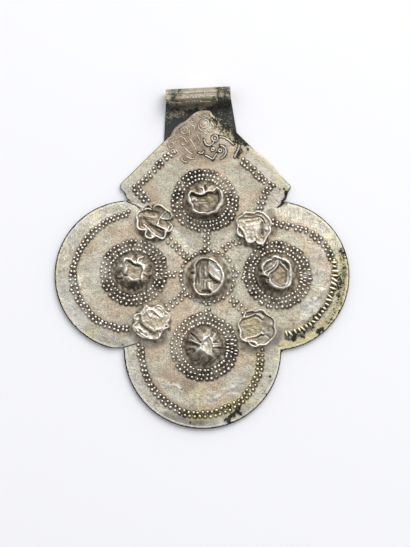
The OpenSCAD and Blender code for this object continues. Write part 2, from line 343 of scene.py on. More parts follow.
def makeSilverGroup():
    tree, start, end = newGroup(
        "wornSilverAndPaintedLight",
        [("Place", "NodeSocketVector", None)]
        + [(name, "NodeSocketFloat", 0.0) for name in silverMasks]
        + [("Plain Colour", "NodeSocketColor", (0.6, 0.53, 0.41, 1)),
           ("Second Colour", "NodeSocketColor", (0.6, 0.53, 0.41, 1)),
           ("Black Colour", "NodeSocketColor", (0.02, 0.02, 0.02, 1)),
           ("Dullness", "NodeSocketFloat", 0.5),
           ("Mottling", "NodeSocketFloat", 0.5),
           ("Scratches", "NodeSocketFloat", 0.4)],
        [("Color", "NodeSocketColor"), ("Roughness", "NodeSocketFloat"),
         ("Metallic", "NodeSocketFloat"), ("Height", "NodeSocketFloat")])
    place = start.outputs["Place"]
    broad, middling, fine, specks = (cloud(tree, place, *values) for values in silverNoise.values())
    speck = rangeOf(tree, specks, 0.58, 0.74)
    grain = reckon(tree, "ADD", reckon(tree, "MULTIPLY", middling, 0.7), reckon(tree, "MULTIPLY", fine, 1.3))
    grain = reckon(tree, "SUBTRACT", grain, 1.0)

    def broken(name, noisy, reach, softness=0.35):
        rough = reckon(tree, "MULTIPLY", reckon(tree, "SUBTRACT", noisy, 0.5), reach)
        seen = reckon(tree, "ADD", start.outputs[name], rough)
        return reckon(tree, "MULTIPLY", rangeOf(tree, seen, 0.5 - softness, 0.5 + softness),
                      rangeOf(tree, start.outputs[name], 0.0, 0.15))

    # plain metal, warmer and cooler by turns, then each mask over it
    tone = blendColour(tree, rangeOf(tree, broad, 0.42, 0.58), start.outputs["Plain Colour"],
                       start.outputs["Second Colour"])
    tone = blendColour(tree, rangeOf(tree, middling, 0.46, 0.72, 0.0, 0.4), tone, silverTints["brown"])
    tone = blendColour(tree, broken("warm", middling, 0.9), tone, silverTints["warm"])
    tone = blendColour(tree, broken("cool", middling, 0.6), tone, silverTints["cool"])
    gold = broken("gold", middling, 0.9)
    tone = blendColour(tree, gold, tone, silverTints["gold"])
    shade = reckon(tree, "ADD", 1.0, reckon(tree, "MULTIPLY", grain, start.outputs["Mottling"]))
    shaded = addNode(tree, "ShaderNodeVectorMath", operation="SCALE")
    feed(tree, shaded.inputs[0], tone)
    feed(tree, shaded.inputs["Scale"], shade)
    tone = shaded.outputs[0]
    uneven = reckon(tree, "MULTIPLY", reckon(tree, "ADD", middling, fine), 0.5)
    patina_and_shade = broken("patina_and_shade", uneven, 2.0, 0.38)
    tone = blendColour(tree, reckon(tree, "MULTIPLY", patina_and_shade, 0.92), tone, silverTints["patina_and_shade"])
    tone = blendColour(tree, reckon(tree, "MULTIPLY", speck, 0.42), tone, silverTints["speck"])
    # the rubbed colour is also the colour of painted highlights and sheen
    wornAndLit = blendColour(tree, gold, silverTints["rub_and_sheen"], silverTints["goldRubAndSheen"])
    tone = blendColour(tree, broken("rub_and_sheen", fine, 0.4), tone, wornAndLit)
    green = broken("green", fine, 0.9)
    tone = blendColour(tree, green, tone, silverTints["green"])
    flecked = reckon(tree, "ADD", reckon(tree, "MULTIPLY", middling, 0.35), reckon(tree, "MULTIPLY", fine, 0.65))
    stain_and_shadow = broken("stain_and_shadow", flecked, 3.0, 0.16)
    tone = blendColour(tree, stain_and_shadow, tone, start.outputs["Black Colour"])
    feed(tree, end.inputs["Color"], tone)

    dull = reckon(tree, "MAXIMUM", stain_and_shadow, green)
    rough = reckon(tree, "ADD", start.outputs["Dullness"], reckon(tree, "MULTIPLY", grain, 0.15))
    rough = reckon(tree, "SUBTRACT", rough, reckon(tree, "MULTIPLY", start.outputs["rub_and_sheen"], 0.12))
    rough = reckon(tree, "ADD", rough, reckon(tree, "MULTIPLY", dull, 0.15), True)
    feed(tree, end.inputs["Roughness"], rough)
    feed(tree, end.inputs["Metallic"], rangeOf(tree, dull, 0.2, 1.0, 1.0, 0.6))
    scratches = addNode(tree, "ShaderNodeGroup", node_tree=bpy.data.node_groups["fineScratches"])
    feed(tree, scratches.inputs["Place"], place)
    feed(tree, scratches.inputs["Density"], start.outputs["Scratches"])
    height = reckon(tree, "ADD", reckon(tree, "MULTIPLY", middling, 0.8), reckon(tree, "MULTIPLY", fine, 0.7))
    height = reckon(tree, "SUBTRACT", height, reckon(tree, "MULTIPLY", speck, 0.5))
    feed(tree, end.inputs["Height"], reckon(tree, "SUBTRACT", height, scratches.outputs["Height"]))
    return tree


def makeSilver(name, values, bumpStrength):
    material = bpy.data.materials.new(name)
    material.use_nodes = True
    tree = material.node_tree
    shader = tree.nodes["Principled BSDF"]
    skin = addNode(tree, "ShaderNodeGroup", node_tree=bpy.data.node_groups["wornSilverAndPaintedLight"])
    coordinates = addNode(tree, "ShaderNodeTexCoord")
    feed(tree, skin.inputs["Place"], coordinates.outputs["Object"])
    for mask in silverMasks:
        layer = addNode(tree, "ShaderNodeAttribute", attribute_name=mask)
        feed(tree, skin.inputs[mask], layer.outputs["Fac"])
    for label, value in values.items():
        skin.inputs[label].default_value = value
    bump = addNode(tree, "ShaderNodeBump")
    bump.inputs["Strength"].default_value = bumpStrength
    bump.inputs["Distance"].default_value = bumpDepth * mm
    feed(tree, bump.inputs["Height"], skin.outputs["Height"])
    feed(tree, shader.inputs["Base Color"], skin.outputs["Color"])
    feed(tree, shader.inputs["Roughness"], skin.outputs["Roughness"])
    feed(tree, shader.inputs["Metallic"], skin.outputs["Metallic"])
    feed(tree, shader.inputs["Normal"], bump.outputs["Normal"])
    return material


makeScratchGroup()
makeSilverGroup()
satinSilver = makeSilver("satinSilver", {
    "Plain Colour": (0.668, 0.556, 0.418, 1), "Second Colour": (0.645, 0.612, 0.486, 1),
    "Black Colour": (0.024, 0.022, 0.018, 1), "Dullness": 0.48, "Mottling": 1.65, "Scratches": 0.3}, 0.9)
rubbedSilver = makeSilver("rubbedSilver", {
    "Plain Colour": (0.51, 0.435, 0.315, 1), "Second Colour": (0.54, 0.495, 0.395, 1),
    "Black Colour": (0.022, 0.021, 0.017, 1), "Dullness": 0.56, "Mottling": 1.3, "Scratches": 0.15}, 0.6)
dotSilver = makeSilver("dotSilver", {
    "Plain Colour": (0.66, 0.58, 0.46, 1), "Second Colour": (0.70, 0.64, 0.53, 1),
    "Black Colour": (0.022, 0.021, 0.017, 1), "Dullness": 0.48, "Mottling": 0.6, "Scratches": 0.0}, 0.1)
blackenedSilver = makeSilver("blackenedSilver", {
    "Plain Colour": (0.50, 0.445, 0.33, 1), "Second Colour": (0.44, 0.40, 0.31, 1),
    "Black Colour": (0.060, 0.063, 0.062, 1), "Dullness": 0.58, "Mottling": 1.4, "Scratches": 0.3}, 0.7)
print("finishes ready")


faceForm = {
    "lobes": [(-20.6, -5.05, 21.25), (20.8, -5.1, 21.15), (0.2, -26.35, 22.3)],
    "roof": [(0.9, 44.4), (-23.7, 20.4), (0.9, -4.0), (25.5, 20.2)],
    "pillow": 0.40, "pillowReach": 7.0,
    "mounds": [(1.3, 16.1, 9.6), (-19.4, -4.0, 9.4), (21.6, -4.7, 9.8), (0.3, -25.0, 9.8), (1.4, -5.1, 8.0)],
    "moundHeight": 0.22,
    "waves": [(16, 0.07, 3), (7, 0.035, 4), (3, 0.015, 5)],
    # raised (+) and sunk (-) lines: height, half width, points
    "creases": [
        (0.10, 0.4, [(-13.0, -34.8), (-10.6, -35.3), (-9.0, -36.3)]),
        (0.12, 0.35, [(-8.2, -36.1), (-6.9, -36.7), (-6.3, -37.5), (-5.9, -38.1)]),
        (-0.10, 1.8, [(-8.6, -37.8), (-6.5, -38.8)]),
        (0.12, 0.4, [(3.5, -40.1), (4.6, -39.7), (6.0, -38.6), (6.4, -37.8), (8.4, -37.0)]),
        (0.10, 0.35, [(8.9, -37.4), (10.4, -35.6), (12.1, -35.0)]),
        (0.07, 0.35, [(6.2, -40.0), (7.4, -39.0), (9.6, -38.8)]),
        (0.07, 0.35, [(10.6, -37.6), (11.6, -36.6)]),
        (-0.14, 2.2, [(7.6, -38.6), (10.6, -37.2)]),
        (0.12, 0.5, [(29.9, 4.7), (29.5, 3.4)]),
        (0.12, 0.5, [(34.4, 2.2), (34.4, 0.2)]),
        (-0.18, 1.8, [(29.8, -15.5), (33.0, -12.6)]),
        (0.15, 0.5, [(31.3, -12.6), (33.4, -10.9), (34.2, -9.4)]),
        (0.14, 0.5, [(29.3, -17.6), (30.3, -15.4), (30.0, -12.6)]),
        (0.12, 0.4, [(31.0, -15.4), (32.0, -13.2), (32.2, -12.0)]),
        (0.12, 0.5, [(-35.3, -5.5), (-34.8, -7.0), (-34.6, -8.4)]),
        (-0.12, 1.4, [(-33.6, -4.6), (-33.0, -8.0)]),
    ],
}


# How deep a point lies inside the outline
def depthInside(x, y):
    depth = np.full(len(x), -99.0)
    for cx, cy, radius in faceForm["lobes"]:
        depth = np.maximum(depth, radius - np.hypot(x - cx, y - cy))
    roof = faceForm["roof"]
    edge = np.full(len(x), 99.0)
    for (ax, ay), (bx, by) in zip(roof, roof[1:] + roof[:1]):
        length = math.hypot(bx - ax, by - ay)
        edge = np.minimum(edge, ((bx - ax) * (y - ay) - (by - ay) * (x - ax)) / length)
    return np.maximum(depth, edge)


# Height of the face sheet's front over its flat CAD level
def faceLift(x, y):
    depth = depthInside(x, y)
    lift = faceForm["pillow"] * smoothStep(0, faceForm["pillowReach"], depth)
    for cx, cy, radius in faceForm["mounds"]:
        lift = lift + faceForm["moundHeight"] * (1 - smoothStep(0.45 * radius, 1.15 * radius, np.hypot(x - cx, y - cy)))
    free = smoothStep(0, 3, depth)
    for wavelength, height, seed in faceForm["waves"]:
        lift = lift + free * height * ripples(x, y, wavelength, seed)
    for height, width, line in faceForm["creases"]:
        lift = lift + free * height * smoothStep(0, 1, 1 - distanceTo(x, y, line) / (2 * width))
    return lift


# For each boss: the middle and half sizes of its foot; the crown's tone, darker (+) or lighter (-); the grooves
# between its petals, in degrees; the rim of its crushed crown, from which rings shrink to the eye; how deep
# the grooves are and how dark the flank is; the rim's height, the floor's level, and the widths of the rolled
# lip and of the slope inside it. Creases stand up and are rubbed bright with a painted highlight, hollows are
# sunk and painted dark as patina and painted shade: strength, half width, line. Plates lie higher (+) or lower
# (-) than the floor: level, softness, outline. Tones colour an area: finish, strength, softness, outline.
bosses = {
    "boss_top": {
        "middle": (1.03, 16.06), "foot": (5.5, 5.3), "crownTone": 0.5,
        "grooves": [12, 48, 92, 128, 160, 196, 228, 262, 300, 338],
        "rim": [(-4.9, 1.5), (-4.8, 2.1), (-4.3, 2.7), (-3.6, 3.0), (-3.0, 2.6), (-2.4, 2.2), (-1.6, 1.9),
                (-0.9, 2.1), (-0.3, 2.1), (0.1, 2.6), (0.8, 2.95), (1.6, 2.95), (2.2, 2.9), (2.8, 3.6),
                (3.4, 4.0), (4.2, 3.3), (4.7, 2.2), (4.85, 0.8), (4.6, -0.6), (3.9, -1.5), (3.2, -2.4),
                (2.5, -2.9), (1.4, -3.2), (0.6, -3.6), (-0.2, -3.3), (-1.2, -3.3), (-2.3, -3.2), (-3.0, -2.8),
                (-3.5, -2.4), (-3.6, -1.7), (-3.8, -0.8), (-4.4, -0.3), (-4.5, 0.3), (-4.5, 0.9)],
        "eye": (0.4, -0.2), "fluting": 0.8, "flank": 0.9, "height": 3.0, "floor": 1.9, "lip": 0.4, "slope": 0.5,
        "creases": [
            (0.6, 0.3, [(2.1, 2.8), (2.5, 2.3), (2.9, 2.7)]),
            (0.9, 0.25, [(-0.5, 2.3), (-0.35, 3.1), (-0.7, 3.9), (-1.6, 4.1)]),
            (0.4, 0.3, [(-3.1, 3.0), (-3.1, 3.8), (-2.4, 4.4)]),
            (0.6, 0.5, [(-4.2, 0.1), (-3.2, 0.8), (-2.6, 0.4)]),
            (0.5, 0.35, [(0.8, 3.6), (1.9, 4.5), (2.8, 4.2)]),
            (0.35, 0.35, [(-1.8, -0.4), (-0.6, -0.9), (0.2, -1.7)]),
            (0.3, 0.3, [(-2.6, -0.8), (-2.2, -2.2)]),
            (0.3, 0.4, [(1.0, 0.9), (1.9, 0.2)]),
        ],
        "hollows": [
            # the first two hollows are also painted shadow under the upper rim
            (1.0, 0.32, [(-3.7, 2.1), (-2.9, 1.8), (-1.8, 1.5), (-0.8, 1.5), (0.1, 1.8)]),
            (0.8, 0.28, [(0.2, 2.3), (1.1, 2.5), (2.1, 2.2), (2.9, 1.8)]),
            (0.9, 0.22, [(3.1, 3.0), (3.45, 2.5), (3.5, 2.0)]),
            (0.5, 0.25, [(-3.8, 1.9), (-4.3, 1.4)]),
            (0.9, 0.3, [(-0.1, 3.0), (-0.2, 5.2)]),
            (0.6, 0.5, [(-2.5, 2.9), (-1.5, 3.3)]),
            (0.45, 0.35, [(1.0, 3.5), (1.7, 3.7)]),
            (0.45, 0.22, [(-2.3, 0.7), (-0.4, 0.6)]),
            (0.3, 0.22, [(-2.0, -0.2), (0.4, -0.1)]),
        ],
        "plates": [(0.9, 0.3, [(2.5, 2.6), (3.6, 4.0), (4.7, 2.2), (4.8, 0.4), (4.3, -1.0), (3.2, -2.3),
                               (2.3, -2.3), (3.1, -0.9), (3.9, 0.0), (3.8, 1.5), (3.6, 2.6)])],
        "tones": [
            # this dark tone below the crown is patina with painted shade on the boss's lower side
            ("patina_and_shade", 0.75, 0.6, [(-4.0, -3.0), (-1.0, -5.5), (3.0, -5.0), (4.6, -2.5), (2.5, -3.2), (0.0, -3.8),
                                   (-2.5, -3.4)]),
            ("gold", 0.55, 0.5, [(0.6, 1.8), (2.8, 1.2), (2.9, -0.6), (1.6, -1.2), (0.6, 0.0)]),
            ("patina_and_shade", 0.25, 0.6, [(-3.2, 1.4), (0.4, 1.4), (0.4, -0.4), (-2.9, -2.4)]),
            ("rub_and_sheen", 0.35, 0.3, [(2.9, 2.8), (3.6, 3.8), (4.6, 2.0), (4.6, 0.2), (3.6, -1.5), (2.7, -2.2),
                                (3.9, 0.0), (3.9, 1.5)]),
        ],
    },
    "boss_centre": {
        "middle": (1.75, -5.4), "foot": (5.2, 5.9), "crownTone": 0.34,
        "grooves": [20, 55, 90, 122, 150, 168, 190, 215, 250, 285, 325],
        "rim": [(-3.8, 2.4), (-3.9, 3.1), (-3.6, 4.0), (-3.0, 4.8), (-2.2, 5.3), (-1.3, 5.45), (-0.3, 5.4),
                (0.7, 5.1), (1.5, 4.7), (2.3, 4.2), (3.0, 3.4), (3.6, 2.5), (4.1, 1.6), (4.4, 0.7),
                (4.35, -0.3), (4.1, -1.2), (3.9, -2.0), (3.3, -2.9), (2.6, -3.7), (1.9, -4.3), (1.2, -4.6),
                (0.6, -5.0), (0.1, -5.15), (-0.8, -5.1), (-1.8, -5.1), (-2.6, -4.9), (-3.2, -4.3),
                (-3.7, -3.6), (-4.0, -2.8), (-3.95, -1.9), (-4.0, -1.0), (-3.8, -0.1), (-3.8, 0.8), (-3.6, 1.6)],
        "eye": (0.0, -0.1), "fluting": 0.6, "flank": 0.75, "height": 3.0, "floor": 1.5, "lip": 0.25, "slope": 0.6,
        "creases": [
            (1.0, 0.25, [(0.15, 4.0), (0.0, 2.6), (-0.05, 1.6), (0.4, 0.9), (1.2, 0.1), (2.1, -0.6),
                         (3.2, -1.2), (4.0, -1.5)]),
            (0.45, 0.4, [(-0.7, 2.4), (-0.75, 1.2), (-0.6, 0.2)]),
            (0.35, 0.3, [(-2.2, 3.6), (-2.3, 1.6), (-2.2, -0.4), (-2.3, -3.0)]),
            (0.35, 0.4, [(-0.9, -1.4), (-0.9, -3.2)]),
            (0.5, 0.3, [(-0.1, -1.5), (-0.2, -2.6), (0.3, -3.5), (1.1, -4.2)]),
            (0.4, 0.35, [(1.2, -1.5), (1.0, -2.6)]),
            (0.4, 0.4, [(2.1, 3.7), (2.9, 3.1)]),
            (0.5, 0.4, [(-4.4, 2.2), (-5.0, 1.8)]),
            (0.5, 0.4, [(-4.4, 0.0), (-5.0, -0.6)]),
            (0.4, 0.4, [(-4.3, -2.2), (-4.4, -3.0)]),
        ],
        "hollows": [
            (0.9, 0.3, [(0.3, 0.5), (1.0, -0.3), (1.9, -1.0), (2.6, -1.45)]),
            (0.6, 0.35, [(-1.4, -0.6), (-0.4, -0.5), (0.8, -0.2)]),
            (0.8, 0.22, [(0.2, 4.85), (1.4, 4.4), (2.2, 3.8)]),
            (0.8, 0.3, [(2.8, 2.3), (3.2, 2.1)]),
            (1.0, 0.32, [(-1.5, -4.1), (0.1, -4.0), (0.7, -4.5)]),
            (0.5, 0.25, [(-1.5, 3.4), (-1.6, 1.2), (-1.3, -0.2)]),
            (0.6, 0.25, [(-2.8, 2.4), (-3.0, 0.4), (-2.8, -1.6)]),
            (0.4, 0.3, [(-1.6, -1.4), (-1.7, -3.4)]),
            (0.6, 0.3, [(-2.3, 3.9), (-2.5, 3.0)]),
            (0.9, 0.3, [(-4.1, 1.0), (-5.3, 1.2)]),
            (0.8, 0.4, [(-4.4, -1.5), (-5.1, -2.0)]),
        ],
        "plates": [
            (1.0, 0.25, [(0.1, 4.9), (0.0, 1.6), (0.45, 0.9), (1.2, 0.1), (2.1, -0.6), (3.2, -1.2), (4.2, -1.4),
                         (4.4, 0.8), (3.2, 3.4), (1.4, 4.8)]),
            (0.9, 0.35, [(-0.2, -1.3), (1.2, -1.2), (1.9, -1.9), (3.6, -1.9), (2.4, -3.8), (1.0, -4.2),
                         (0.1, -3.5), (-0.3, -2.4)]),
        ],
        "tones": [
            ("patina_and_shade", 0.45, 0.4, [(-3.4, 2.6), (-2.6, 4.6), (-0.3, 4.8), (0.0, 1.2), (1.0, -0.2), (2.5, -1.4),
                                   (0.8, -1.1), (-0.4, -1.6), (-0.3, -3.4), (0.6, -4.6), (-2.0, -4.6), (-3.4, -3.4)]),
            ("cool", 0.5, 0.5, [(-3.2, 2.6), (-0.4, 2.6), (-0.2, 0.0), (-0.4, -3.6), (-3.0, -3.6)]),
            ("rub_and_sheen", 0.5, 0.4, [(0.4, 3.8), (2.2, 3.6), (3.8, 1.4), (4.0, -0.6), (3.2, -1.0), (1.9, -0.2),
                               (0.5, 1.1)]),
            ("rub_and_sheen", 0.55, 0.4, [(-0.1, -1.5), (1.2, -1.5), (1.6, -3.0), (1.2, -4.0), (0.2, -3.4)]),
        ],
    },
    "boss_left": {
        "middle": (-19.37, -3.75), "foot": (5.4, 5.3), "crownTone": 0.2,
        "grooves": [8, 48, 82, 112, 150, 196, 232, 262, 300, 334],
        "rim": [(-2.5, -0.5), (-2.2, 0.0), (-2.0, 0.5), (-2.0, 1.1), (-2.3, 1.7), (-2.6, 2.2), (-2.8, 2.7),
                (-2.5, 3.4), (-1.9, 3.6), (-1.2, 3.5), (-0.7, 3.2), (-0.2, 2.7), (0.2, 2.35), (0.9, 2.25),
                (1.5, 2.1), (2.2, 1.95), (2.6, 1.5), (2.85, 0.9), (2.9, 0.2), (2.6, -0.4), (2.35, -1.0),
                (2.3, -1.8), (2.4, -2.5), (2.0, -2.3), (1.0, -2.3), (0.4, -2.6), (-0.2, -2.6), (-0.8, -2.3),
                (-1.3, -1.8), (-1.9, -1.3), (-2.3, -0.9)],
        "eye": (0.3, 0.1), "fluting": 0.4, "flank": 1.0, "height": 3.2, "floor": 2.2, "lip": 0.35, "slope": 0.4,
        "creases": [
            (0.9, 0.28, [(1.2, 2.3), (1.1, 3.0), (1.4, 3.6), (2.1, 3.9), (2.8, 4.2)]),
            (0.6, 0.32, [(-2.7, 2.8), (-3.4, 2.2), (-3.9, 1.3)]),
            (0.5, 0.35, [(-0.6, 3.4), (-0.4, 4.6)]),
            (0.9, 0.3, [(2.4, -2.0), (2.4, -3.0)]),
            (0.75, 0.26, [(-3.3, 1.2), (-4.2, 1.4), (-5.0, 0.9), (-5.3, -0.2), (-5.0, -1.2), (-4.2, -1.7),
                          (-3.2, -1.3)]),
            (0.7, 0.25, [(3.2, -0.7), (3.9, -1.1), (4.7, -1.1), (5.3, -0.5), (5.3, 0.4), (4.7, 1.0), (3.8, 1.1)]),
            (0.65, 0.25, [(2.7, 1.9), (3.4, 1.6), (4.2, 1.7), (4.8, 2.3), (4.6, 3.1), (3.8, 3.6)]),
            (0.5, 0.25, [(2.1, 3.0), (2.9, 3.1), (3.4, 3.8), (3.0, 4.5)]),
            (0.4, 0.25, [(-1.7, -2.0), (-2.2, -2.6), (-3.3, -2.9), (-4.2, -3.4)]),
            (0.4, 0.3, [(-2.0, -2.2), (-1.3, -3.0)]),
            (0.35, 0.4, [(3.1, -2.4), (4.3, -2.7)]),
            (0.3, 0.4, [(0.3, 0.7), (1.1, 0.8)]),
        ],
        "hollows": [
            (0.9, 0.25, [(-1.7, 2.9), (-0.9, 2.6), (-0.2, 2.0), (0.5, 1.75), (1.6, 1.6)]),
            (0.4, 0.3, [(0.4, 1.4), (1.7, 1.3)]),
            (0.8, 0.8, [(-4.5, -0.4), (-3.7, -0.1)]),
            (0.75, 0.55, [(4.1, -0.1), (4.7, 0.1)]),
            (0.75, 0.5, [(3.6, 2.5), (4.2, 2.8)]),
            (0.7, 0.4, [(1.7, 3.2), (2.3, 3.8)]),
            (0.8, 0.35, [(0.2, -3.3), (0.3, -4.7)]),
            (0.7, 0.35, [(1.9, -2.7), (3.0, -3.7)]),
            (0.8, 0.5, [(0.4, 3.4), (0.6, 4.6)]),
            (1.0, 0.35, [(-1.9, -1.2), (-2.6, -1.2)]),
            (0.8, 0.4, [(-4.6, -2.3), (-3.2, -2.2)]),
            (0.6, 0.4, [(-0.6, -3.2), (-0.4, -4.6)]),
            (0.3, 0.2, [(-0.2, -0.4), (0.0, -0.6)]),
        ],
        "plates": [],
        "tones": [
            # this dark tone below the crown is patina with painted shade on the boss's lower side
            ("patina_and_shade", 0.75, 0.6, [(-2.5, -2.5), (-1.5, -5.3), (2.0, -5.3), (2.4, -3.0), (1.0, -2.6), (-0.4, -2.8)]),
            ("patina_and_shade", 0.2, 0.4, [(-1.6, 1.6), (-0.2, 1.8), (1.8, 1.0), (2.0, -1.2), (0.2, -1.8), (-1.6, -0.4)]),
            ("gold", 0.35, 0.4, [(-1.8, 1.0), (-0.6, 1.6), (-0.4, -0.6), (-1.6, -0.4)]),
        ],
    },
    "boss_right": {
        "middle": (21.27, -4.46), "foot": (5.4, 5.4), "crownTone": 0.42,
        "grooves": [10, 44, 80, 116, 168, 196, 222, 258, 296, 334],
        "rim": [(-4.2, 1.4), (-4.1, 2.1), (-3.7, 2.8), (-3.1, 3.4), (-2.3, 3.9), (-1.5, 4.1), (-1.2, 4.7),
                (-0.8, 5.0), (-0.2, 4.9), (0.5, 4.6), (1.3, 4.3), (2.0, 4.0), (2.9, 3.6), (3.5, 3.1),
                (3.9, 2.4), (3.9, 1.5), (3.85, 0.5), (4.0, -0.6), (4.0, -1.8), (3.9, -2.8), (3.4, -3.5),
                (2.5, -3.9), (1.5, -4.1), (0.5, -4.0), (-0.4, -3.7), (-1.2, -3.2), (-1.7, -2.6), (-1.9, -2.0),
                (-2.0, -1.4), (-2.5, -0.9), (-3.4, -0.2), (-3.9, 0.6)],
        "eye": (0.7, -0.4), "fluting": 0.8, "flank": 0.9, "height": 3.1, "floor": 1.9, "lip": 0.35, "slope": 0.5,
        "creases": [
            (1.0, 0.28, [(0.35, 3.9), (0.3, 3.0), (0.0, 2.1), (-0.6, 1.3), (-1.4, 0.7), (-2.1, 0.2), (-2.5, -0.5)]),
            (0.9, 0.24, [(-0.1, 3.6), (-0.4, 2.8), (-0.9, 2.0), (-1.6, 1.5), (-2.3, 1.1), (-2.9, 0.8), (-3.4, 0.3)]),
            (0.8, 0.24, [(0.9, 3.7), (1.3, 2.9), (1.9, 2.3), (2.5, 1.6), (3.2, 1.0)]),
            (0.8, 0.45, [(3.3, 0.4), (3.4, -0.8), (3.2, -2.2), (2.6, -3.2)]),
            (0.8, 0.25, [(-4.9, -0.2), (-4.2, -0.1), (-3.4, -0.4), (-2.6, -0.5)]),
            (0.6, 0.25, [(-2.9, -1.9), (-2.8, -2.5), (-2.2, -2.6)]),
            (0.6, 0.4, [(-0.9, 4.4), (0.4, 4.3)]),
            (0.4, 0.25, [(-2.8, 2.0), (-1.6, 2.6)]),
            (0.35, 0.3, [(2.0, 2.6), (2.6, 2.0)]),
        ],
        "hollows": [
            (0.7, 0.22, [(-1.6, -0.1), (-0.6, 0.7), (0.3, 1.6), (0.9, 2.3), (1.5, 1.7), (2.4, 0.9)]),
            (0.6, 0.24, [(2.6, 0.6), (2.6, -0.8), (2.4, -2.4)]),
            (0.4, 0.15, [(0.0, 3.0), (-0.5, 1.9), (-1.4, 1.1), (-2.6, 0.4)]),
            (0.7, 0.35, [(2.0, 3.0), (2.8, 2.7), (3.1, 1.8)]),
            (1.0, 0.4, [(-4.6, -0.9), (-3.2, -1.0), (-2.4, -1.3)]),
            (0.9, 0.35, [(-5.4, 0.9), (-4.4, 0.8)]),
            (0.4, 0.25, [(-2.5, -2.1), (-2.4, -2.3)]),
            (0.3, 0.3, [(-3.3, 1.9), (-2.6, 2.8)]),
            (0.5, 0.18, [(1.4, 4.0), (2.6, 3.4)]),
        ],
        "plates": [(0.35, 0.35, [(-4.0, 1.4), (-2.4, 0.9), (-1.1, 2.2), (-0.8, 3.6), (-2.0, 4.0), (-3.8, 2.7)])],
        "tones": [
            # these dark tones below the crown are patina with painted shade on the boss's lower side
            ("patina_and_shade", 0.75, 0.6, [(-5.2, -0.8), (-3.5, -4.5), (0.0, -5.4), (3.5, -4.6), (0.5, -4.3), (-1.5, -3.4),
                                   (-2.4, -1.6)]),
            ("patina_and_shade", 0.7, 0.6, [(2.8, -3.8), (4.6, -1.8), (5.0, -3.4), (3.2, -5.0)]),
            ("gold", 0.4, 0.35, [(1.0, 2.1), (2.3, 0.7), (2.4, -1.0), (2.0, -3.0), (0.4, -3.0), (-0.9, -2.0),
                                 (-1.4, -0.6), (-0.2, 0.8)]),
            ("warm", 0.85, 0.4, [(1.0, 2.1), (2.3, 0.7), (2.4, -1.0), (2.0, -3.0), (0.4, -3.0), (-0.9, -2.0),
                                 (-1.4, -0.6), (-0.2, 0.8)]),
            ("rub_and_sheen", 0.6, 0.3, [(3.0, 0.6), (3.8, 0.6), (4.0, -1.8), (3.7, -3.0), (2.6, -3.5), (2.6, -2.6),
                               (3.0, -1.0)]),
            ("cool", 0.5, 0.3, [(-3.7, 1.6), (-3.3, 2.6), (-2.2, 3.4), (-1.0, 3.2), (-1.4, 1.9), (-2.8, 1.2)]),
        ],
    },
    "boss_bottom": {
        "middle": (0.46, -24.89), "foot": (5.5, 5.4), "crownTone": -0.5,
        "grooves": [22, 60, 98, 137, 155, 178, 212, 248, 282, 318, 350],
        "rim": [(-1.0, -0.2), (-0.6, 0.6), (-0.5, 1.2), (-0.1, 1.6), (0.5, 2.1), (1.2, 2.7), (1.6, 2.9),
                (1.9, 2.3), (2.3, 1.8), (2.5, 1.2), (2.6, 0.7), (3.0, 0.2), (2.8, -0.4), (2.3, -0.9),
                (2.1, -1.6), (2.1, -2.3), (1.9, -2.6), (1.3, -2.4), (0.7, -1.9), (0.2, -1.6), (-0.3, -1.4),
                (-0.8, -0.9)],
        "eye": (1.0, 0.1), "fluting": 0.5, "flank": 1.0, "height": 3.4, "floor": 2.7, "lip": 0.45, "slope": 0.35,
        "creases": [
            (0.7, 0.25, [(2.8, 0.5), (5.1, 0.5)]),
            (0.7, 0.25, [(2.8, -0.3), (5.1, -0.3)]),
            (0.8, 0.3, [(-1.2, 0.3), (-2.4, 1.0), (-3.2, 1.5), (-4.2, 1.8)]),
            (0.5, 0.25, [(-0.9, 1.6), (-2.0, 2.6), (-3.4, 3.7)]),
            (0.9, 0.6, [(-0.8, -0.9), (-1.8, -1.3)]),
            (0.5, 0.35, [(1.9, 2.9), (2.3, 4.2)]),
            (0.7, 0.25, [(2.1, -2.7), (2.9, -3.2), (3.6, -3.9)]),
            (0.55, 0.25, [(3.1, -2.5), (3.8, -1.9), (4.6, -1.7)]),
            (0.45, 0.28, [(-5.0, -0.9), (-4.2, -0.4), (-3.2, -0.6), (-2.4, -0.6)]),
            (0.4, 0.35, [(-2.8, -2.0), (-3.1, -2.6)]),
            (0.3, 0.35, [(0.4, -3.2), (0.6, -4.4)]),
            (0.35, 0.35, [(-0.2, 2.6), (0.4, 4.2)]),
        ],
        "hollows": [
            (0.55, 0.5, [(0.9, 1.1), (1.2, 0.0), (1.2, -1.1)]),
            (0.8, 0.25, [(2.9, 0.95), (5.2, 1.3)]),
            (1.0, 0.25, [(2.6, -0.75), (5.2, -0.7)]),
            (1.0, 0.32, [(-0.8, 0.8), (-1.8, 1.8), (-3.0, 3.0), (-4.3, 4.2)]),
            (1.0, 0.45, [(-1.3, -0.1), (-2.6, 0.4), (-4.8, 0.9)]),
            (0.7, 0.4, [(-4.8, -1.4), (-3.0, -1.1)]),
            (0.7, 0.3, [(2.2, 2.4), (2.8, 3.6), (3.2, 4.4)]),
            (0.6, 0.3, [(1.0, 2.8), (1.4, 4.2)]),
            (0.5, 0.35, [(2.6, -1.4), (3.4, -1.4)]),
            (0.6, 0.4, [(-1.0, -2.5), (-1.4, -4.2)]),
            (0.6, 0.4, [(1.6, -3.2), (1.8, -4.6)]),
        ],
        "plates": [],
        "tones": [
            ("gold", 0.4, 0.4, [(0.4, 1.4), (1.8, 1.4), (1.8, -1.4), (0.4, -1.2)]),
            ("cool", 0.9, 0.3, [(-2.4, -0.8), (-0.4, -0.5), (-0.2, -1.8), (-2.2, -1.9)]),
            ("rub_and_sheen", 0.4, 0.3, [(2.8, -0.2), (5.0, -0.2), (5.0, 0.4), (2.8, 0.4)]),
        ],
    },
    "boss_upper_left": {
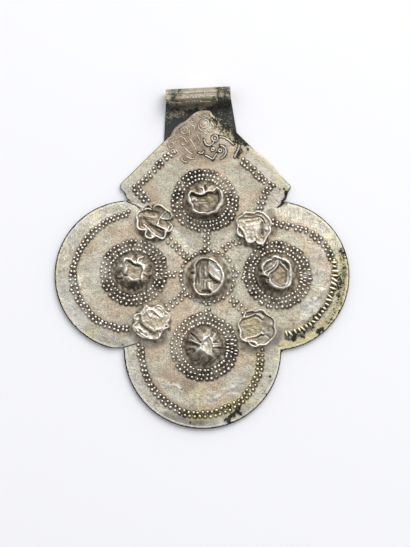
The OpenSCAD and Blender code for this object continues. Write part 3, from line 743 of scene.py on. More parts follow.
        "middle": (-13.56, 10.25), "foot": (5.2, 5.0), "crownTone": 0.48, "grooves": [],
        "rim": [(-5.1, 1.0), (-5.3, 1.7), (-5.0, 2.4), (-4.4, 2.9), (-3.5, 3.2), (-3.3, 3.9), (-2.8, 4.6),
                (-2.0, 4.9), (-1.2, 4.7), (-0.7, 4.2), (-0.45, 3.5), (-0.1, 4.3), (0.4, 4.8), (1.3, 4.9),
                (2.2, 4.6), (2.8, 4.1), (3.3, 3.7), (4.1, 3.3), (4.8, 2.6), (5.2, 1.8), (5.1, 1.2), (4.4, 0.7),
                (3.8, 0.2), (4.5, -0.4), (5.0, -0.8), (5.3, -1.4), (5.1, -2.1), (4.6, -2.7), (4.0, -2.8),
                (3.5, -2.7), (3.3, -3.2), (3.2, -4.1), (2.7, -4.8), (2.0, -4.8), (1.2, -4.4), (0.4, -4.0),
                (-0.1, -4.4), (-0.9, -4.8), (-1.8, -4.6), (-2.5, -4.1), (-2.7, -3.6), (-2.4, -2.9),
                (-2.3, -2.4), (-3.2, -2.4), (-4.0, -2.3), (-4.7, -1.8), (-5.0, -1.2), (-4.9, -0.4), (-4.8, 0.4)],
        "eye": (0.0, 0.0), "fluting": 0, "flank": 0.7, "height": 2.5, "floor": 1.8, "lip": 0.3, "slope": 0.5,
        "creases": [
            (0.9, 0.25, [(-3.6, 3.1), (-2.9, 3.4), (-2.2, 3.7), (-1.5, 3.75), (-0.8, 3.4)]),
            (0.9, 0.25, [(-4.3, 2.8), (-4.9, 2.0), (-4.7, 1.2), (-4.4, 0.4), (-4.6, -0.6), (-4.6, -1.4),
                         (-4.2, -1.9), (-3.4, -2.2), (-2.6, -2.0), (-2.2, -1.5)]),
            (1.0, 0.28, [(-2.9, -0.9), (-2.3, -1.3), (-1.7, -1.9), (-1.1, -2.6), (-0.4, -3.2), (0.3, -3.8),
                         (1.1, -4.3), (1.9, -4.7), (2.5, -4.8), (3.0, -4.2), (3.2, -3.3), (3.0, -2.7)]),
            (0.8, 0.4, [(-0.9, -2.8), (-0.7, -3.6), (-0.4, -4.1)]),
            (0.7, 0.22, [(-1.9, -2.4), (-2.4, -3.2), (-2.5, -3.9), (-1.9, -4.4), (-1.0, -4.6), (-0.2, -4.3)]),
            (0.8, 0.25, [(2.9, 2.5), (2.2, 1.8), (1.6, 1.1), (1.2, 0.3), (1.1, -0.5), (0.7, -0.9)]),
            (0.85, 0.25, [(3.0, 2.6), (3.6, 3.2), (4.4, 2.9), (5.0, 2.1), (5.0, 1.3), (4.4, 0.8), (3.4, 0.7),
                          (2.4, 0.8), (1.8, 1.1)]),
            (0.95, 0.28, [(0.9, -1.1), (1.8, -1.5), (2.7, -1.9), (3.6, -2.3), (4.0, -1.9), (4.3, -1.2), (4.8, -0.9)]),
            (0.5, 0.3, [(-4.2, 2.2), (-4.2, 1.4)]),
            (0.35, 0.5, [(-1.4, 1.4), (0.2, 1.2)]),
        ],
        "hollows": [
            (0.8, 0.42, [(-3.2, 2.85), (-2.2, 3.0), (-1.2, 2.95), (-0.2, 2.75), (0.9, 2.5)]),
            (0.6, 0.3, [(-0.4, 2.1), (-0.2, 1.9)]),
            (0.7, 0.5, [(-2.7, 0.6), (-1.9, -0.4), (-1.0, -1.2), (0.0, -2.0), (1.0, -2.7), (2.0, -3.5), (2.6, -4.0)]),
            (1.0, 0.25, [(-1.0, -0.8), (0.2, -1.5), (1.4, -1.9), (2.2, -2.2)]),
            (0.5, 0.45, [(-4.0, 0.8), (-4.0, -0.3), (-3.6, -1.2), (-3.0, -1.2)]),
            (0.9, 0.25, [(2.9, 0.4), (3.8, 0.35), (4.9, 0.6)]),
            (0.5, 0.3, [(-1.8, -3.2), (-1.7, -3.8)]),
            (0.4, 0.25, [(-1.6, 4.2), (-1.6, 4.4)]),
            (0.5, 0.25, [(4.5, -1.4), (4.3, -2.2)]),
            (0.8, 0.22, [(-0.45, 4.6), (-0.45, 3.6)]),
        ],
        "plates": [],
        "tones": [
            ("patina_and_shade", 0.2, 0.5, [(-3.4, 2.2), (1.2, 2.2), (0.9, -0.4), (-1.0, -0.8)]),
            ("cool", 0.8, 0.3, [(2.2, 1.2), (3.4, 2.8), (4.7, 2.0), (4.6, 1.1), (3.2, 1.0)]),
            ("gold", 0.3, 0.5, [(-3.9, -0.2), (-3.2, -0.2), (-3.0, -1.6), (-4.2, -1.6)]),
        ],
    },
    "boss_upper_right": {
        "middle": (14.83, 8.71), "foot": (5.1, 4.8), "crownTone": -0.28, "grooves": [],
        "rim": [(-4.9, 1.2), (-5.1, 1.9), (-4.8, 2.5), (-4.2, 3.0), (-3.5, 3.4), (-3.0, 3.9), (-2.5, 4.3),
                (-1.6, 4.3), (-0.6, 4.1), (0.2, 4.1), (0.6, 4.6), (1.2, 4.6), (2.0, 4.3), (2.8, 4.0), (3.5, 3.4),
                (4.1, 2.8), (4.6, 2.1), (5.0, 1.3), (4.9, 0.6), (4.5, 0.0), (4.8, -0.6), (4.7, -1.4),
                (4.2, -2.0), (3.7, -2.6), (3.3, -3.4), (3.0, -4.2), (2.5, -4.8), (1.7, -4.8), (1.0, -4.6),
                (0.7, -4.1), (0.3, -3.9), (-0.1, -4.1), (-0.8, -4.3), (-1.6, -4.3), (-2.1, -3.9), (-2.3, -3.2),
                (-3.2, -2.8), (-4.0, -2.5), (-4.7, -1.8), (-4.9, -1.0), (-4.7, -0.2), (-4.6, 0.5)],
        "eye": (0.0, 0.0), "fluting": 0, "flank": 0.7, "height": 2.4, "floor": 1.9, "lip": 0.3, "slope": 0.5,
        "creases": [
            (1.0, 0.3, [(-4.9, 1.7), (-4.6, 0.8), (-4.3, 0.1), (-3.6, -0.4), (-3.0, -1.1), (-2.6, -1.9),
                        (-2.3, -2.7), (-2.2, -3.5), (-1.6, -4.1), (-0.6, -4.1), (0.2, -3.7)]),
            (0.8, 0.25, [(-5.0, 2.0), (-4.5, 2.6), (-3.6, 3.1), (-3.0, 3.7)]),
            (0.5, 0.3, [(-2.9, 3.9), (-1.8, 3.9), (-0.8, 4.0), (0.4, 4.0)]),
            (0.85, 0.28, [(0.5, 4.5), (1.4, 4.4), (2.4, 4.1), (3.2, 3.5), (3.9, 2.7), (4.6, 1.8), (4.8, 1.0)]),
            (0.7, 0.2, [(1.3, 3.2), (2.0, 3.3), (2.7, 2.8), (3.1, 2.1), (3.3, 1.4)]),
            (0.85, 0.28, [(0.6, -4.4), (1.4, -4.7), (2.3, -4.7), (2.9, -4.1), (3.3, -3.2), (3.9, -2.3),
                          (4.6, -1.3), (4.7, -0.6)]),
            (0.9, 0.5, [(3.5, -0.5), (3.8, -0.7)]),
            (0.7, 0.22, [(-4.7, -0.6), (-4.7, -1.5), (-4.2, -2.2), (-3.5, -2.6), (-3.2, -2.3)]),
            (0.6, 0.35, [(0.1, -0.4), (0.6, -1.0), (0.5, -2.2), (1.2, -3.2)]),
            (0.5, 0.3, [(-0.5, -1.6), (-0.4, -3.2)]),
            (0.4, 0.35, [(4.0, 1.6), (4.2, 0.8)]),
        ],
        "hollows": [
            (1.0, 0.3, [(-4.2, -0.4), (-3.5, -1.3), (-3.0, -2.2), (-2.7, -3.1)]),
            (0.3, 0.6, [(-1.4, -0.5), (-1.4, -0.9)]),
            (0.25, 0.6, [(-1.3, -2.5), (-1.3, -3.1)]),
            (0.8, 0.36, [(2.3, 1.2), (2.4, 0.2), (2.3, -0.8), (2.4, -1.9)]),
            (0.9, 0.3, [(2.4, -1.8), (2.5, -2.2)]),
            (0.9, 0.18, [(1.7, 2.9), (2.4, 2.4), (2.9, 1.8), (3.0, 1.2)]),
            (1.0, 0.35, [(0.4, -4.4), (0.4, -3.9)]),
            (0.45, 0.45, [(-4.2, 2.3), (-3.0, 2.3), (-1.5, 2.4), (0.0, 2.6), (1.0, 2.9)]),
            (0.6, 0.2, [(-3.0, 3.4), (-1.8, 3.4), (-0.6, 3.4)]),
            (0.6, 0.15, [(-2.5, 1.5), (-0.6, 1.7), (1.3, 2.0)]),
            (0.4, 0.4, [(1.8, -2.4), (2.4, -3.4)]),
        ],
        "plates": [(0.3, 0.4, [(-3.0, 0.2), (-2.4, 1.0), (1.9, 1.5), (1.8, -0.6), (1.2, -2.6), (1.4, -3.6),
                               (-2.0, -3.9), (-2.5, -1.6)])],
        "tones": [
            ("rub_and_sheen", 0.42, 0.5, [(-3.0, -0.3), (-2.4, 0.9), (0.2, 1.4), (1.9, 1.2), (1.8, -0.6), (1.2, -2.6),
                                (1.6, -3.4), (-0.6, -4.0), (-2.0, -3.8), (-2.3, -2.2)]),
            ("cool", 0.6, 0.4, [(-4.4, 0.6), (-4.2, 1.8), (-2.6, 1.4), (-2.8, 0.4)]),
            ("gold", 0.3, 0.4, [(-3.8, 2.0), (-3.0, 3.2), (0.4, 3.0), (1.8, 2.4), (1.4, 1.6)]),
        ],
    },
    "boss_lower_left": {
        "middle": (-14.33, -18.14), "foot": (5.3, 5.0), "crownTone": -0.3, "grooves": [],
        "rim": [(-5.0, 0.8), (-5.1, 1.4), (-4.8, 1.9), (-4.3, 2.2), (-3.2, 2.3), (-2.6, 3.2), (-2.0, 4.2),
                (-1.4, 4.8), (-1.0, 4.4), (-0.6, 3.9), (0.4, 3.9), (1.0, 4.2), (1.4, 4.7), (2.2, 4.7), (2.9, 4.4),
                (3.4, 3.8), (3.8, 3.1), (4.3, 2.7), (5.0, 2.3), (5.3, 1.6), (5.2, 0.7), (4.8, -0.1), (4.5, -0.7),
                (4.9, -1.2), (4.8, -1.7), (4.2, -2.1), (3.6, -2.3), (3.0, -2.9), (2.6, -3.8), (2.3, -4.5),
                (1.7, -4.9), (0.6, -5.0), (-0.4, -4.9), (-1.3, -4.7), (-2.4, -4.6), (-3.4, -4.0), (-4.0, -3.4),
                (-4.7, -2.8), (-5.2, -2.0), (-5.4, -1.3), (-5.1, -0.7), (-4.4, -0.3), (-4.6, 0.3)],
        "eye": (0.3, 0.0), "fluting": 0, "flank": 0.7, "height": 2.0, "floor": 1.8, "lip": 0.3, "slope": 0.8,
        "creases": [
            (1.0, 0.33, [(-1.1, 3.5), (-2.0, 2.5), (-2.8, 1.7), (-2.7, 0.9), (-2.6, 0.2), (-2.2, -0.6),
                         (-1.4, -1.3), (-0.5, -1.9), (0.3, -2.4), (0.9, -2.8)]),
            (0.8, 0.25, [(0.9, -2.8), (1.7, -2.2), (2.6, -2.6), (3.4, -2.2), (4.2, -1.8), (4.8, -1.5),
                         (4.4, -0.8), (4.3, -0.2), (5.0, 0.6), (5.2, 1.5), (4.7, 2.3), (4.0, 2.8), (3.4, 3.6),
                         (2.6, 4.4), (1.5, 4.6), (1.2, 4.1)]),
            (0.9, 0.4, [(1.4, -2.2), (2.6, -2.1), (3.7, -1.7)]),
            (0.9, 0.27, [(-0.6, 3.5), (0.4, 3.4), (1.1, 2.8), (1.8, 2.1), (2.5, 1.6), (3.2, 1.3)]),
            (0.7, 0.35, [(2.5, 1.0), (2.8, 0.9)]),
            (0.7, 0.3, [(-1.4, 3.3), (-0.9, 2.2), (-0.3, 1.4)]),
            (0.6, 0.25, [(-4.7, 1.5), (-4.7, 0.8), (-3.8, 0.6)]),
            (0.5, 0.22, [(-5.3, -1.6), (-5.0, -0.9), (-4.3, -0.6), (-3.4, -0.8)]),
            (0.8, 0.25, [(-4.8, -1.5), (-4.1, -2.1), (-3.7, -2.8)]),
            (0.8, 0.25, [(-3.9, -1.7), (-3.0, -2.1), (-2.3, -2.8), (-1.8, -3.1)]),
            (0.9, 0.27, [(-3.1, -3.3), (-2.2, -3.8), (-1.1, -4.5)]),
            (0.55, 0.35, [(-2.3, 2.9), (-1.9, 3.8), (-1.3, 4.6)]),
            (0.6, 0.2, [(1.9, -2.9), (2.2, -3.6), (2.3, -4.3)]),
            (0.4, 0.3, [(0.6, -4.7), (1.4, -4.7)]),
            (0.35, 0.3, [(-1.6, 0.2), (-0.8, 0.0)]),
        ],
        "hollows": [
            (1.0, 0.36, [(-3.4, -0.6), (-2.6, -1.2), (-1.8, -1.9), (-0.9, -2.4), (-0.2, -3.0)]),
            (0.6, 0.28, [(-3.3, 1.8), (-3.2, 0.8), (-3.3, -0.1)]),
            (0.8, 0.22, [(4.1, -1.4), (4.3, -1.4)]),
            (0.7, 0.28, [(3.9, 2.2), (4.1, 2.1)]),
            (0.4, 0.35, [(1.1, 4.0), (2.0, 3.4), (3.0, 2.4)]),
            (0.4, 0.3, [(1.2, 2.1), (2.4, 1.0)]),
            (0.3, 0.3, [(0.2, 2.5), (1.3, 1.5)]),
            (0.7, 0.28, [(-4.4, -3.0), (-3.6, -3.4)]),
            (0.6, 0.22, [(-3.2, -2.8), (-2.2, -3.3), (-1.4, -3.9)]),
            (0.4, 0.7, [(-0.2, -3.7), (1.4, -3.9)]),
            (0.5, 0.2, [(1.0, 4.4), (1.1, 3.8)]),
        ],
        "plates": [(0.5, 0.4, [(-2.8, 1.9), (-2.6, 0.0), (-1.4, -1.3), (0.9, -2.8), (4.3, -1.6), (5.1, 1.2),
                               (3.6, 3.4), (1.6, 4.2), (-1.2, 3.6)])],
        "tones": [
            ("rub_and_sheen", 0.4, 0.5, [(-2.4, 0.4), (-1.8, 2.4), (-0.6, 3.2), (0.2, 2.2), (0.6, 1.2), (-0.6, 0.4)]),
            ("gold", 0.5, 0.5, [(-0.4, 0.4), (3.4, 0.6), (3.6, -0.8), (0.2, -1.2)]),
        ],
    },
    "boss_lower_right": {
        "middle": (15.63, -19.99), "foot": (5.5, 5.4), "crownTone": 0.36, "grooves": [],
        "rim": [(-5.4, 0.9), (-5.3, 1.6), (-4.8, 2.3), (-4.2, 2.9), (-3.7, 3.3), (-3.6, 4.0), (-3.1, 4.6),
                (-2.3, 4.95), (-1.2, 5.1), (-0.6, 4.8), (-0.1, 5.0), (0.7, 5.3), (1.5, 5.3), (2.1, 5.0),
                (2.5, 4.4), (3.0, 3.9), (3.8, 3.4), (4.6, 2.9), (5.1, 2.1), (5.2, 1.2), (5.1, 0.4), (5.4, -0.4),
                (5.5, -1.2), (5.2, -2.0), (4.6, -2.8), (3.9, -3.5), (3.2, -4.2), (2.4, -4.8), (1.6, -4.8),
                (0.9, -4.75), (0.2, -5.1), (-0.6, -5.3), (-1.4, -5.1), (-2.0, -4.6), (-2.4, -3.9), (-3.2, -3.75),
                (-4.0, -3.5), (-4.6, -2.9), (-4.8, -2.2), (-4.7, -1.3), (-4.8, -0.5), (-5.2, 0.2)],
        "eye": (0.0, 0.0), "fluting": 0, "flank": 0.7, "height": 2.5, "floor": 1.7, "lip": 0.3, "slope": 0.6,
        "creases": [
            (0.95, 0.27, [(-3.8, 3.1), (-2.9, 3.1), (-2.0, 3.4), (-1.2, 3.8), (-0.5, 4.1), (0.2, 3.9), (0.8, 3.6),
                          (1.3, 3.1), (1.6, 2.7)]),
            (0.5, 0.18, [(0.6, 4.4), (1.3, 3.7), (1.9, 3.1), (2.3, 2.7)]),
            (0.85, 0.25, [(-3.7, -3.2), (-2.7, -2.8), (-1.8, -2.6), (-0.9, -2.45), (-0.1, -2.2), (0.6, -1.8),
                          (1.2, -1.4), (1.8, -1.6)]),
            (0.5, 0.3, [(1.2, -1.3), (1.6, -0.7), (1.7, -0.2)]),
            (0.8, 0.3, [(-2.3, -3.7), (-1.2, -3.8), (-0.4, -4.1), (0.2, -4.7)]),
            (0.5, 0.5, [(4.0, 1.8), (4.2, 1.1)]),
            (0.5, 0.32, [(0.7, -2.75), (1.0, -2.6)]),
            (0.4, 0.45, [(-4.0, 0.7), (-3.0, 0.8), (-2.2, 1.0), (-1.7, 1.1)]),
        ],
        "hollows": [
            (0.6, 0.4, [(-4.2, 2.2), (-3.2, 2.5), (-2.2, 2.8), (-1.2, 3.3), (-0.2, 3.4), (0.8, 3.0), (1.5, 2.3)]),
            (0.85, 0.24, [(-2.9, 4.3), (-2.0, 4.5), (-0.9, 4.6)]),
            (0.4, 0.2, [(-2.4, 3.8), (-1.4, 4.1)]),
            (0.75, 0.2, [(1.8, 4.1), (2.4, 3.7), (3.2, 3.2), (4.0, 2.8), (4.6, 2.3), (4.8, 1.5)]),
            (0.4, 0.25, [(0.9, 4.6), (1.9, 4.3)]),
            (0.8, 0.28, [(-0.3, -2.8), (0.4, -2.5), (1.1, -2.0), (1.8, -2.1)]),
            (0.8, 0.2, [(-1.9, -4.1), (-1.2, -4.5), (-0.4, -4.9)]),
            (0.45, 0.25, [(2.6, -2.0), (3.7, -2.7)]),
            (0.3, 0.5, [(2.6, 0.2), (3.0, -0.8)]),
        ],
        "plates": [],
        "tones": [
            ("gold", 0.5, 0.6, [(-4.6, 1.2), (-3.6, 2.4), (-1.0, 3.0), (1.0, 2.4), (1.6, 0.8), (1.2, -0.6),
                                (0.4, -1.8), (-1.6, -2.2), (-3.6, -2.2), (-4.4, -0.8)]),
            ("warm", 0.9, 0.6, [(-4.6, 1.2), (-3.6, 2.4), (-1.0, 3.0), (1.0, 2.4), (1.0, 0.8), (-1.0, 0.4)]),
            ("cool", 0.6, 0.5, [(2.2, -1.0), (5.0, -0.6), (4.6, -2.4), (3.0, -3.4), (1.8, -2.6)]),
        ],
    },
}

# The blank's sectors, rings and radius, and the share of the radius that becomes the wall; how the wall leans,
# rises and puffs out, and its foot against the rim where it has no petals; the rim, the folds, how high a boss
# may be, how deep it sits in the face, the room left under the CAD boss's top, and its thickness
bossBlank = {
    "sectors": 192, "rings": 58, "radius": 5.5, "wallShare": 0.32, "lean": 1.7, "rise": 0.75, "puff": 0.3,
    "grooveDepth": 0.5, "plainFoot": 0.97, "rimWaver": 0.18, "lipWidth": 0.37, "foldHeight": 0.36,
    "foldDepth": 0.42, "foldReach": 1.7, "highest": 4.3, "sunk": 0.08, "topRoom": 0.02, "sheet": 0.25,
}


# A flat disc of rings, from which every boss is sunk and folded
def makeBossBlank():
    deselectAll()
    bpy.ops.mesh.primitive_circle_add(
        vertices=bossBlank["sectors"], radius=bossBlank["radius"] * mm, fill_type="NOTHING")
    disc = bpy.context.object
    bpy.ops.object.mode_set(mode="EDIT")
    rings = bossBlank["rings"]
    for ring in range(1, rings):
        shrink = (rings - ring) / (rings - ring + 1)
        bpy.ops.mesh.extrude_region_move()
        bpy.ops.transform.resize(value=(shrink, shrink, 1), center_override=(0, 0, 0))
    bpy.ops.mesh.extrude_region_move()
    bpy.ops.mesh.merge(type="CENTER")
    closeMesh()
    if disc.data.polygons[0].normal.z < 0:
        disc.data.flip_normals()
    return disc


# Radius of a closed outline about an inner point, for each angle in degrees
def radiusRound(outline, eye, angles, softness):
    way = np.array([math.degrees(math.atan2(y - eye[1], x - eye[0])) % 360 for x, y in outline])
    size = np.array([math.hypot(x - eye[0], y - eye[1]) for x, y in outline])
    order = np.argsort(way)
    fine = np.arange(0, 360, 1.0)
    radius = np.interp(fine, way[order], size[order], period=360)
    span = np.arange(-softness, softness + 1)
    weight = np.exp(-(span / (softness / 2)) ** 2)
    radius = sum(np.roll(radius, s) * w for s, w in zip(span, weight)) / weight.sum()
    return np.interp(angles, fine, radius, period=360)


# Radius of a foot whose petals bulge between its grooves
def footRound(spec, angles):
    halfX, halfY = spec["foot"]
    turn = np.radians(angles)
    oval = halfX * halfY / np.hypot(halfY * np.cos(turn), halfX * np.sin(turn))
    grooves = np.array(spec["grooves"], float)
    place = np.searchsorted(grooves, angles) % len(grooves)
    start, end = grooves[place - 1], grooves[place]
    share = ((angles - start) % 360) / np.maximum((end - start) % 360, 1)
    petal = np.sin(math.pi * share) ** 0.55
    return oval * (0.90 + 0.10 * petal), petal


# Foot, wall and crown of one boss: where each point of the blank goes, how far up the wall it lies, and
# whether it is inside the rim
def formBoss(flat, spec, seed):
    out = np.hypot(flat[:, 0], flat[:, 1])
    angle = np.degrees(np.arctan2(flat[:, 1], flat[:, 0])) % 360
    share = 1 - out / bossBlank["radius"]
    turn = np.radians(angle)
    ray = np.stack([np.cos(turn), np.sin(turn)], 1)
    eye = np.array(spec["eye"])
    rimRadius = radiusRound(spec["rim"], spec["eye"], angle, 3)
    rimPlace = eye + ray * rimRadius[:, None]
    if spec["grooves"]:
        footRadius, petal = footRound(spec, angle)
        petal = 1 - spec["fluting"] * (1 - petal)
        footPlace = ray * footRadius[:, None]
    else:
        petal = np.ones(len(angle))
        footRadius = radiusRound(spec["rim"], spec["eye"], angle, 9) * bossBlank["plainFoot"]
        footPlace = eye + ray * footRadius[:, None]

    # the wall leaves the face steeply and leans in towards the rim
    wall = bossBlank["wallShare"]
    up = np.clip(share / wall, 0, 1)
    place = footPlace + (rimPlace - footPlace) * (up ** bossBlank["lean"])[:, None]
    place = place + ray * (bossBlank["puff"] * np.sin(math.pi * up) * petal)[:, None]
    rimHeight = spec["height"] + bossBlank["rimWaver"] * ripples(angle, np.zeros(len(angle)), 80, seed)
    z = rimHeight * up ** bossBlank["rise"]
    z = z - (1 - petal) * np.sin(math.pi * up) * bossBlank["grooveDepth"]

    # inside the rim: a rolled lip, then the slope down to the floor
    inward = np.clip((share - wall) / (1 - wall), 0, 1)
    crown = share > wall
    inPlace = eye + ray * (rimRadius * (1 - inward))[:, None]
    drop = smoothStep(spec["lip"] * 0.4, spec["lip"] + spec["slope"], rimRadius * inward)
    place = np.where(crown[:, None], inPlace, place)
    z = np.where(crown, rimHeight * (1 - drop) + spec["floor"] * drop, z)
    x, y = place[:, 0], place[:, 1]
    for level, softness, outline in spec["plates"]:
        z = z + level * within(x, y, outline, softness) * drop * crown
    return x, y, z, up, crown


# 1 on the line of a fold and 0 past its reach
def nearFold(x, y, line, width):
    return np.clip(1 - distanceTo(x, y, line) / (bossBlank["foldReach"] * width), 0, 1)


# The rim, hollows, creases and small dents of one boss, and how bright and dark they leave it: a painted highlight on
# the rim and creases, painted shade in the hollows
def foldBoss(x, y, z, up, spec, seed):
    lipWidth = bossBlank["lipWidth"] * (1 + 0.35 * ripples(x, y, 2.0, seed + 75))
    bright = np.exp(-(distanceTo(x, y, spec["rim"] + spec["rim"][:1]) / lipWidth) ** 2) * (up > 0.75)
    bright = bright * np.clip(1.0 + 0.5 * ripples(x, y, 1.8, seed + 77), 0.6, 1)
    dark = np.zeros(len(x))
    offFoot = smoothStep(0.0, 0.35, up)
    for strength, width, line in spec["hollows"]:
        sunk = strength * smoothStep(0, 1, nearFold(x, y, line, width) * offFoot)
        z = z - bossBlank["foldDepth"] * sunk
        dark = np.maximum(dark, sunk)
        bright = bright * (1 - sunk)
    for strength, width, line in spec["creases"]:
        near = nearFold(x, y, line, width) * offFoot
        z = z + bossBlank["foldHeight"] * strength * near ** 1.1
        bright = np.maximum(bright, strength * smoothStep(0.25, 0.95, near))
    bright = bright * (0.65 + 0.35 * smoothStep(0.5, 1.0, up))
    loose = smoothStep(0.2, 0.6, up)
    z = z + 0.04 * ripples(x, y, 2.6, seed + 50) * loose
    z = z + 0.05 * (0.5 - np.abs(ripples(x, y, 2.2, seed + 60))) * loose
    z = z + 0.025 * ripples(x, y, 0.9, seed + 65) * loose
    return np.clip(z, 0, bossBlank["highest"]), bright, dark


# What is painted on one boss: a dark flank, patina and painted shade in its folds, bright creases and ridges as wear
# and painted highlight, streaks, and its tones
def shadeBoss(obj, x, y, up, crown, bright, dark, spec, seed):
    hollow, crinkle = hollowness(obj, 14), hollowness(obj, 4)
    blotch = ripples(x, y, 1.8, seed + 80)
    crownTone = spec["crownTone"] * crown * (1 + 0.3 * blotch)
    flank = spec["flank"] * (0.5 - 0.2 * up ** 3) + 0.16 * blotch + 0.12 * ripples(x, y, 0.9, seed + 82)
    flank = np.maximum((~crown) * flank, crownTone)
    streak = (~crown) * 0.4 * smoothStep(0.25, 1.0, ripples(x, y, 1.2, seed + 85))
    bright = np.maximum(bright, np.maximum(streak, -crownTone))
    # hollows take patina and painted shade; ridges take a painted highlight as well as wear
    folded = np.maximum(smoothStep(0.04, 0.4, hollow) * 0.6, smoothStep(0.006, 0.06, crinkle) * 0.65)
    dark = np.maximum(dark, np.maximum(flank, folded * (1 - bright)))
    bright = np.maximum(bright, 0.7 * smoothStep(0.04, 0.3, -hollow) * (1 - dark))
    bright = np.maximum(bright, 0.55 * smoothStep(0.008, 0.05, -crinkle) * (1 - 0.5 * dark))
    masks = {"patina_and_shade": dark, "rub_and_sheen": bright, "gold": np.zeros(len(x)), "cool": np.zeros(len(x)),
             "warm": 0.36 + 0.22 * ripples(x, y, 3.0, seed + 70)}
    for finish, strength, softness, outline in spec["tones"]:
        masks[finish] = np.maximum(masks[finish], strength * within(x, y, outline, softness))
    for finish, values in masks.items():
        paint(obj, finish, values)


def sinkBoss(blank, name, spec, seed):
    obj = blank.copy()
    obj.data = blank.data.copy()
    bpy.context.collection.objects.link(obj)
    x, y, z, up, crown = formBoss(pointsOf(obj), spec, seed)
    z, bright, dark = foldBoss(x, y, z, up, spec, seed)
    cx, cy = spec["middle"]
    seat = faceTop + faceLift(x + cx, y + cy) - bossBlank["sunk"]
    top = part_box(name)[1].z / mm - bossBlank["topRoom"]
    movePoints(obj, np.stack([x + cx, y + cy, np.minimum(z + seat, top)], 1))
    useModifier(obj, "SMOOTH", factor=0.5, iterations=1)
    shadeBoss(obj, x, y, up, crown, bright, dark, spec, seed)
    useModifier(obj, "SOLIDIFY", thickness=bossBlank["sheet"] * mm, offset=-1)
    return finishPiece(obj, name.replace("boss_", "crushed_boss_"), rubbedSilver, "rubbed_silver", name)


blank = makeBossBlank()
for seed, (name, spec) in enumerate(bosses.items()):
    sinkBoss(blank, name, spec, seed)
bpy.data.objects.remove(blank)
print("bosses ready")


# One dot: its profile gives the share of its radius and height at each ring, and a stroke is long where a
# round one isn't (length, width). The spreads are how unevenly dots are laid: along and off their row, in
# reach, in turn (degrees), in size and in stretch. Each ring of a rosette is turned by a share of a step
dotShape = {
    "radius": 0.44, "height": 0.44, "sides": 10, "sunk": 0.08,
    "profile": [(1.0, 0.0), (0.93, 0.42), (0.72, 0.74), (0.38, 0.94)],
    "stroke": (1.4, 0.66), "round": (0.92, 0.92), "heights": (0.75, 1.2), "ringTurn": 0.35,
    "slip": 0.05, "stray": 0.09, "reachSpread": 0.08, "turnSpread": 0.9, "sizeSpread": 0.08, "stretchSpread": 0.1,
}

# How dark the metal is between the dots of each field
dotShade = {
    "left_lobe_dots": 1.0, "bottom_lobe_dots": 1.0, "right_lobe_dots": 1.0, "right_lobe_bars": 1.0,
    "roof_dots": 0.88, "link_dots": 0.68,
}

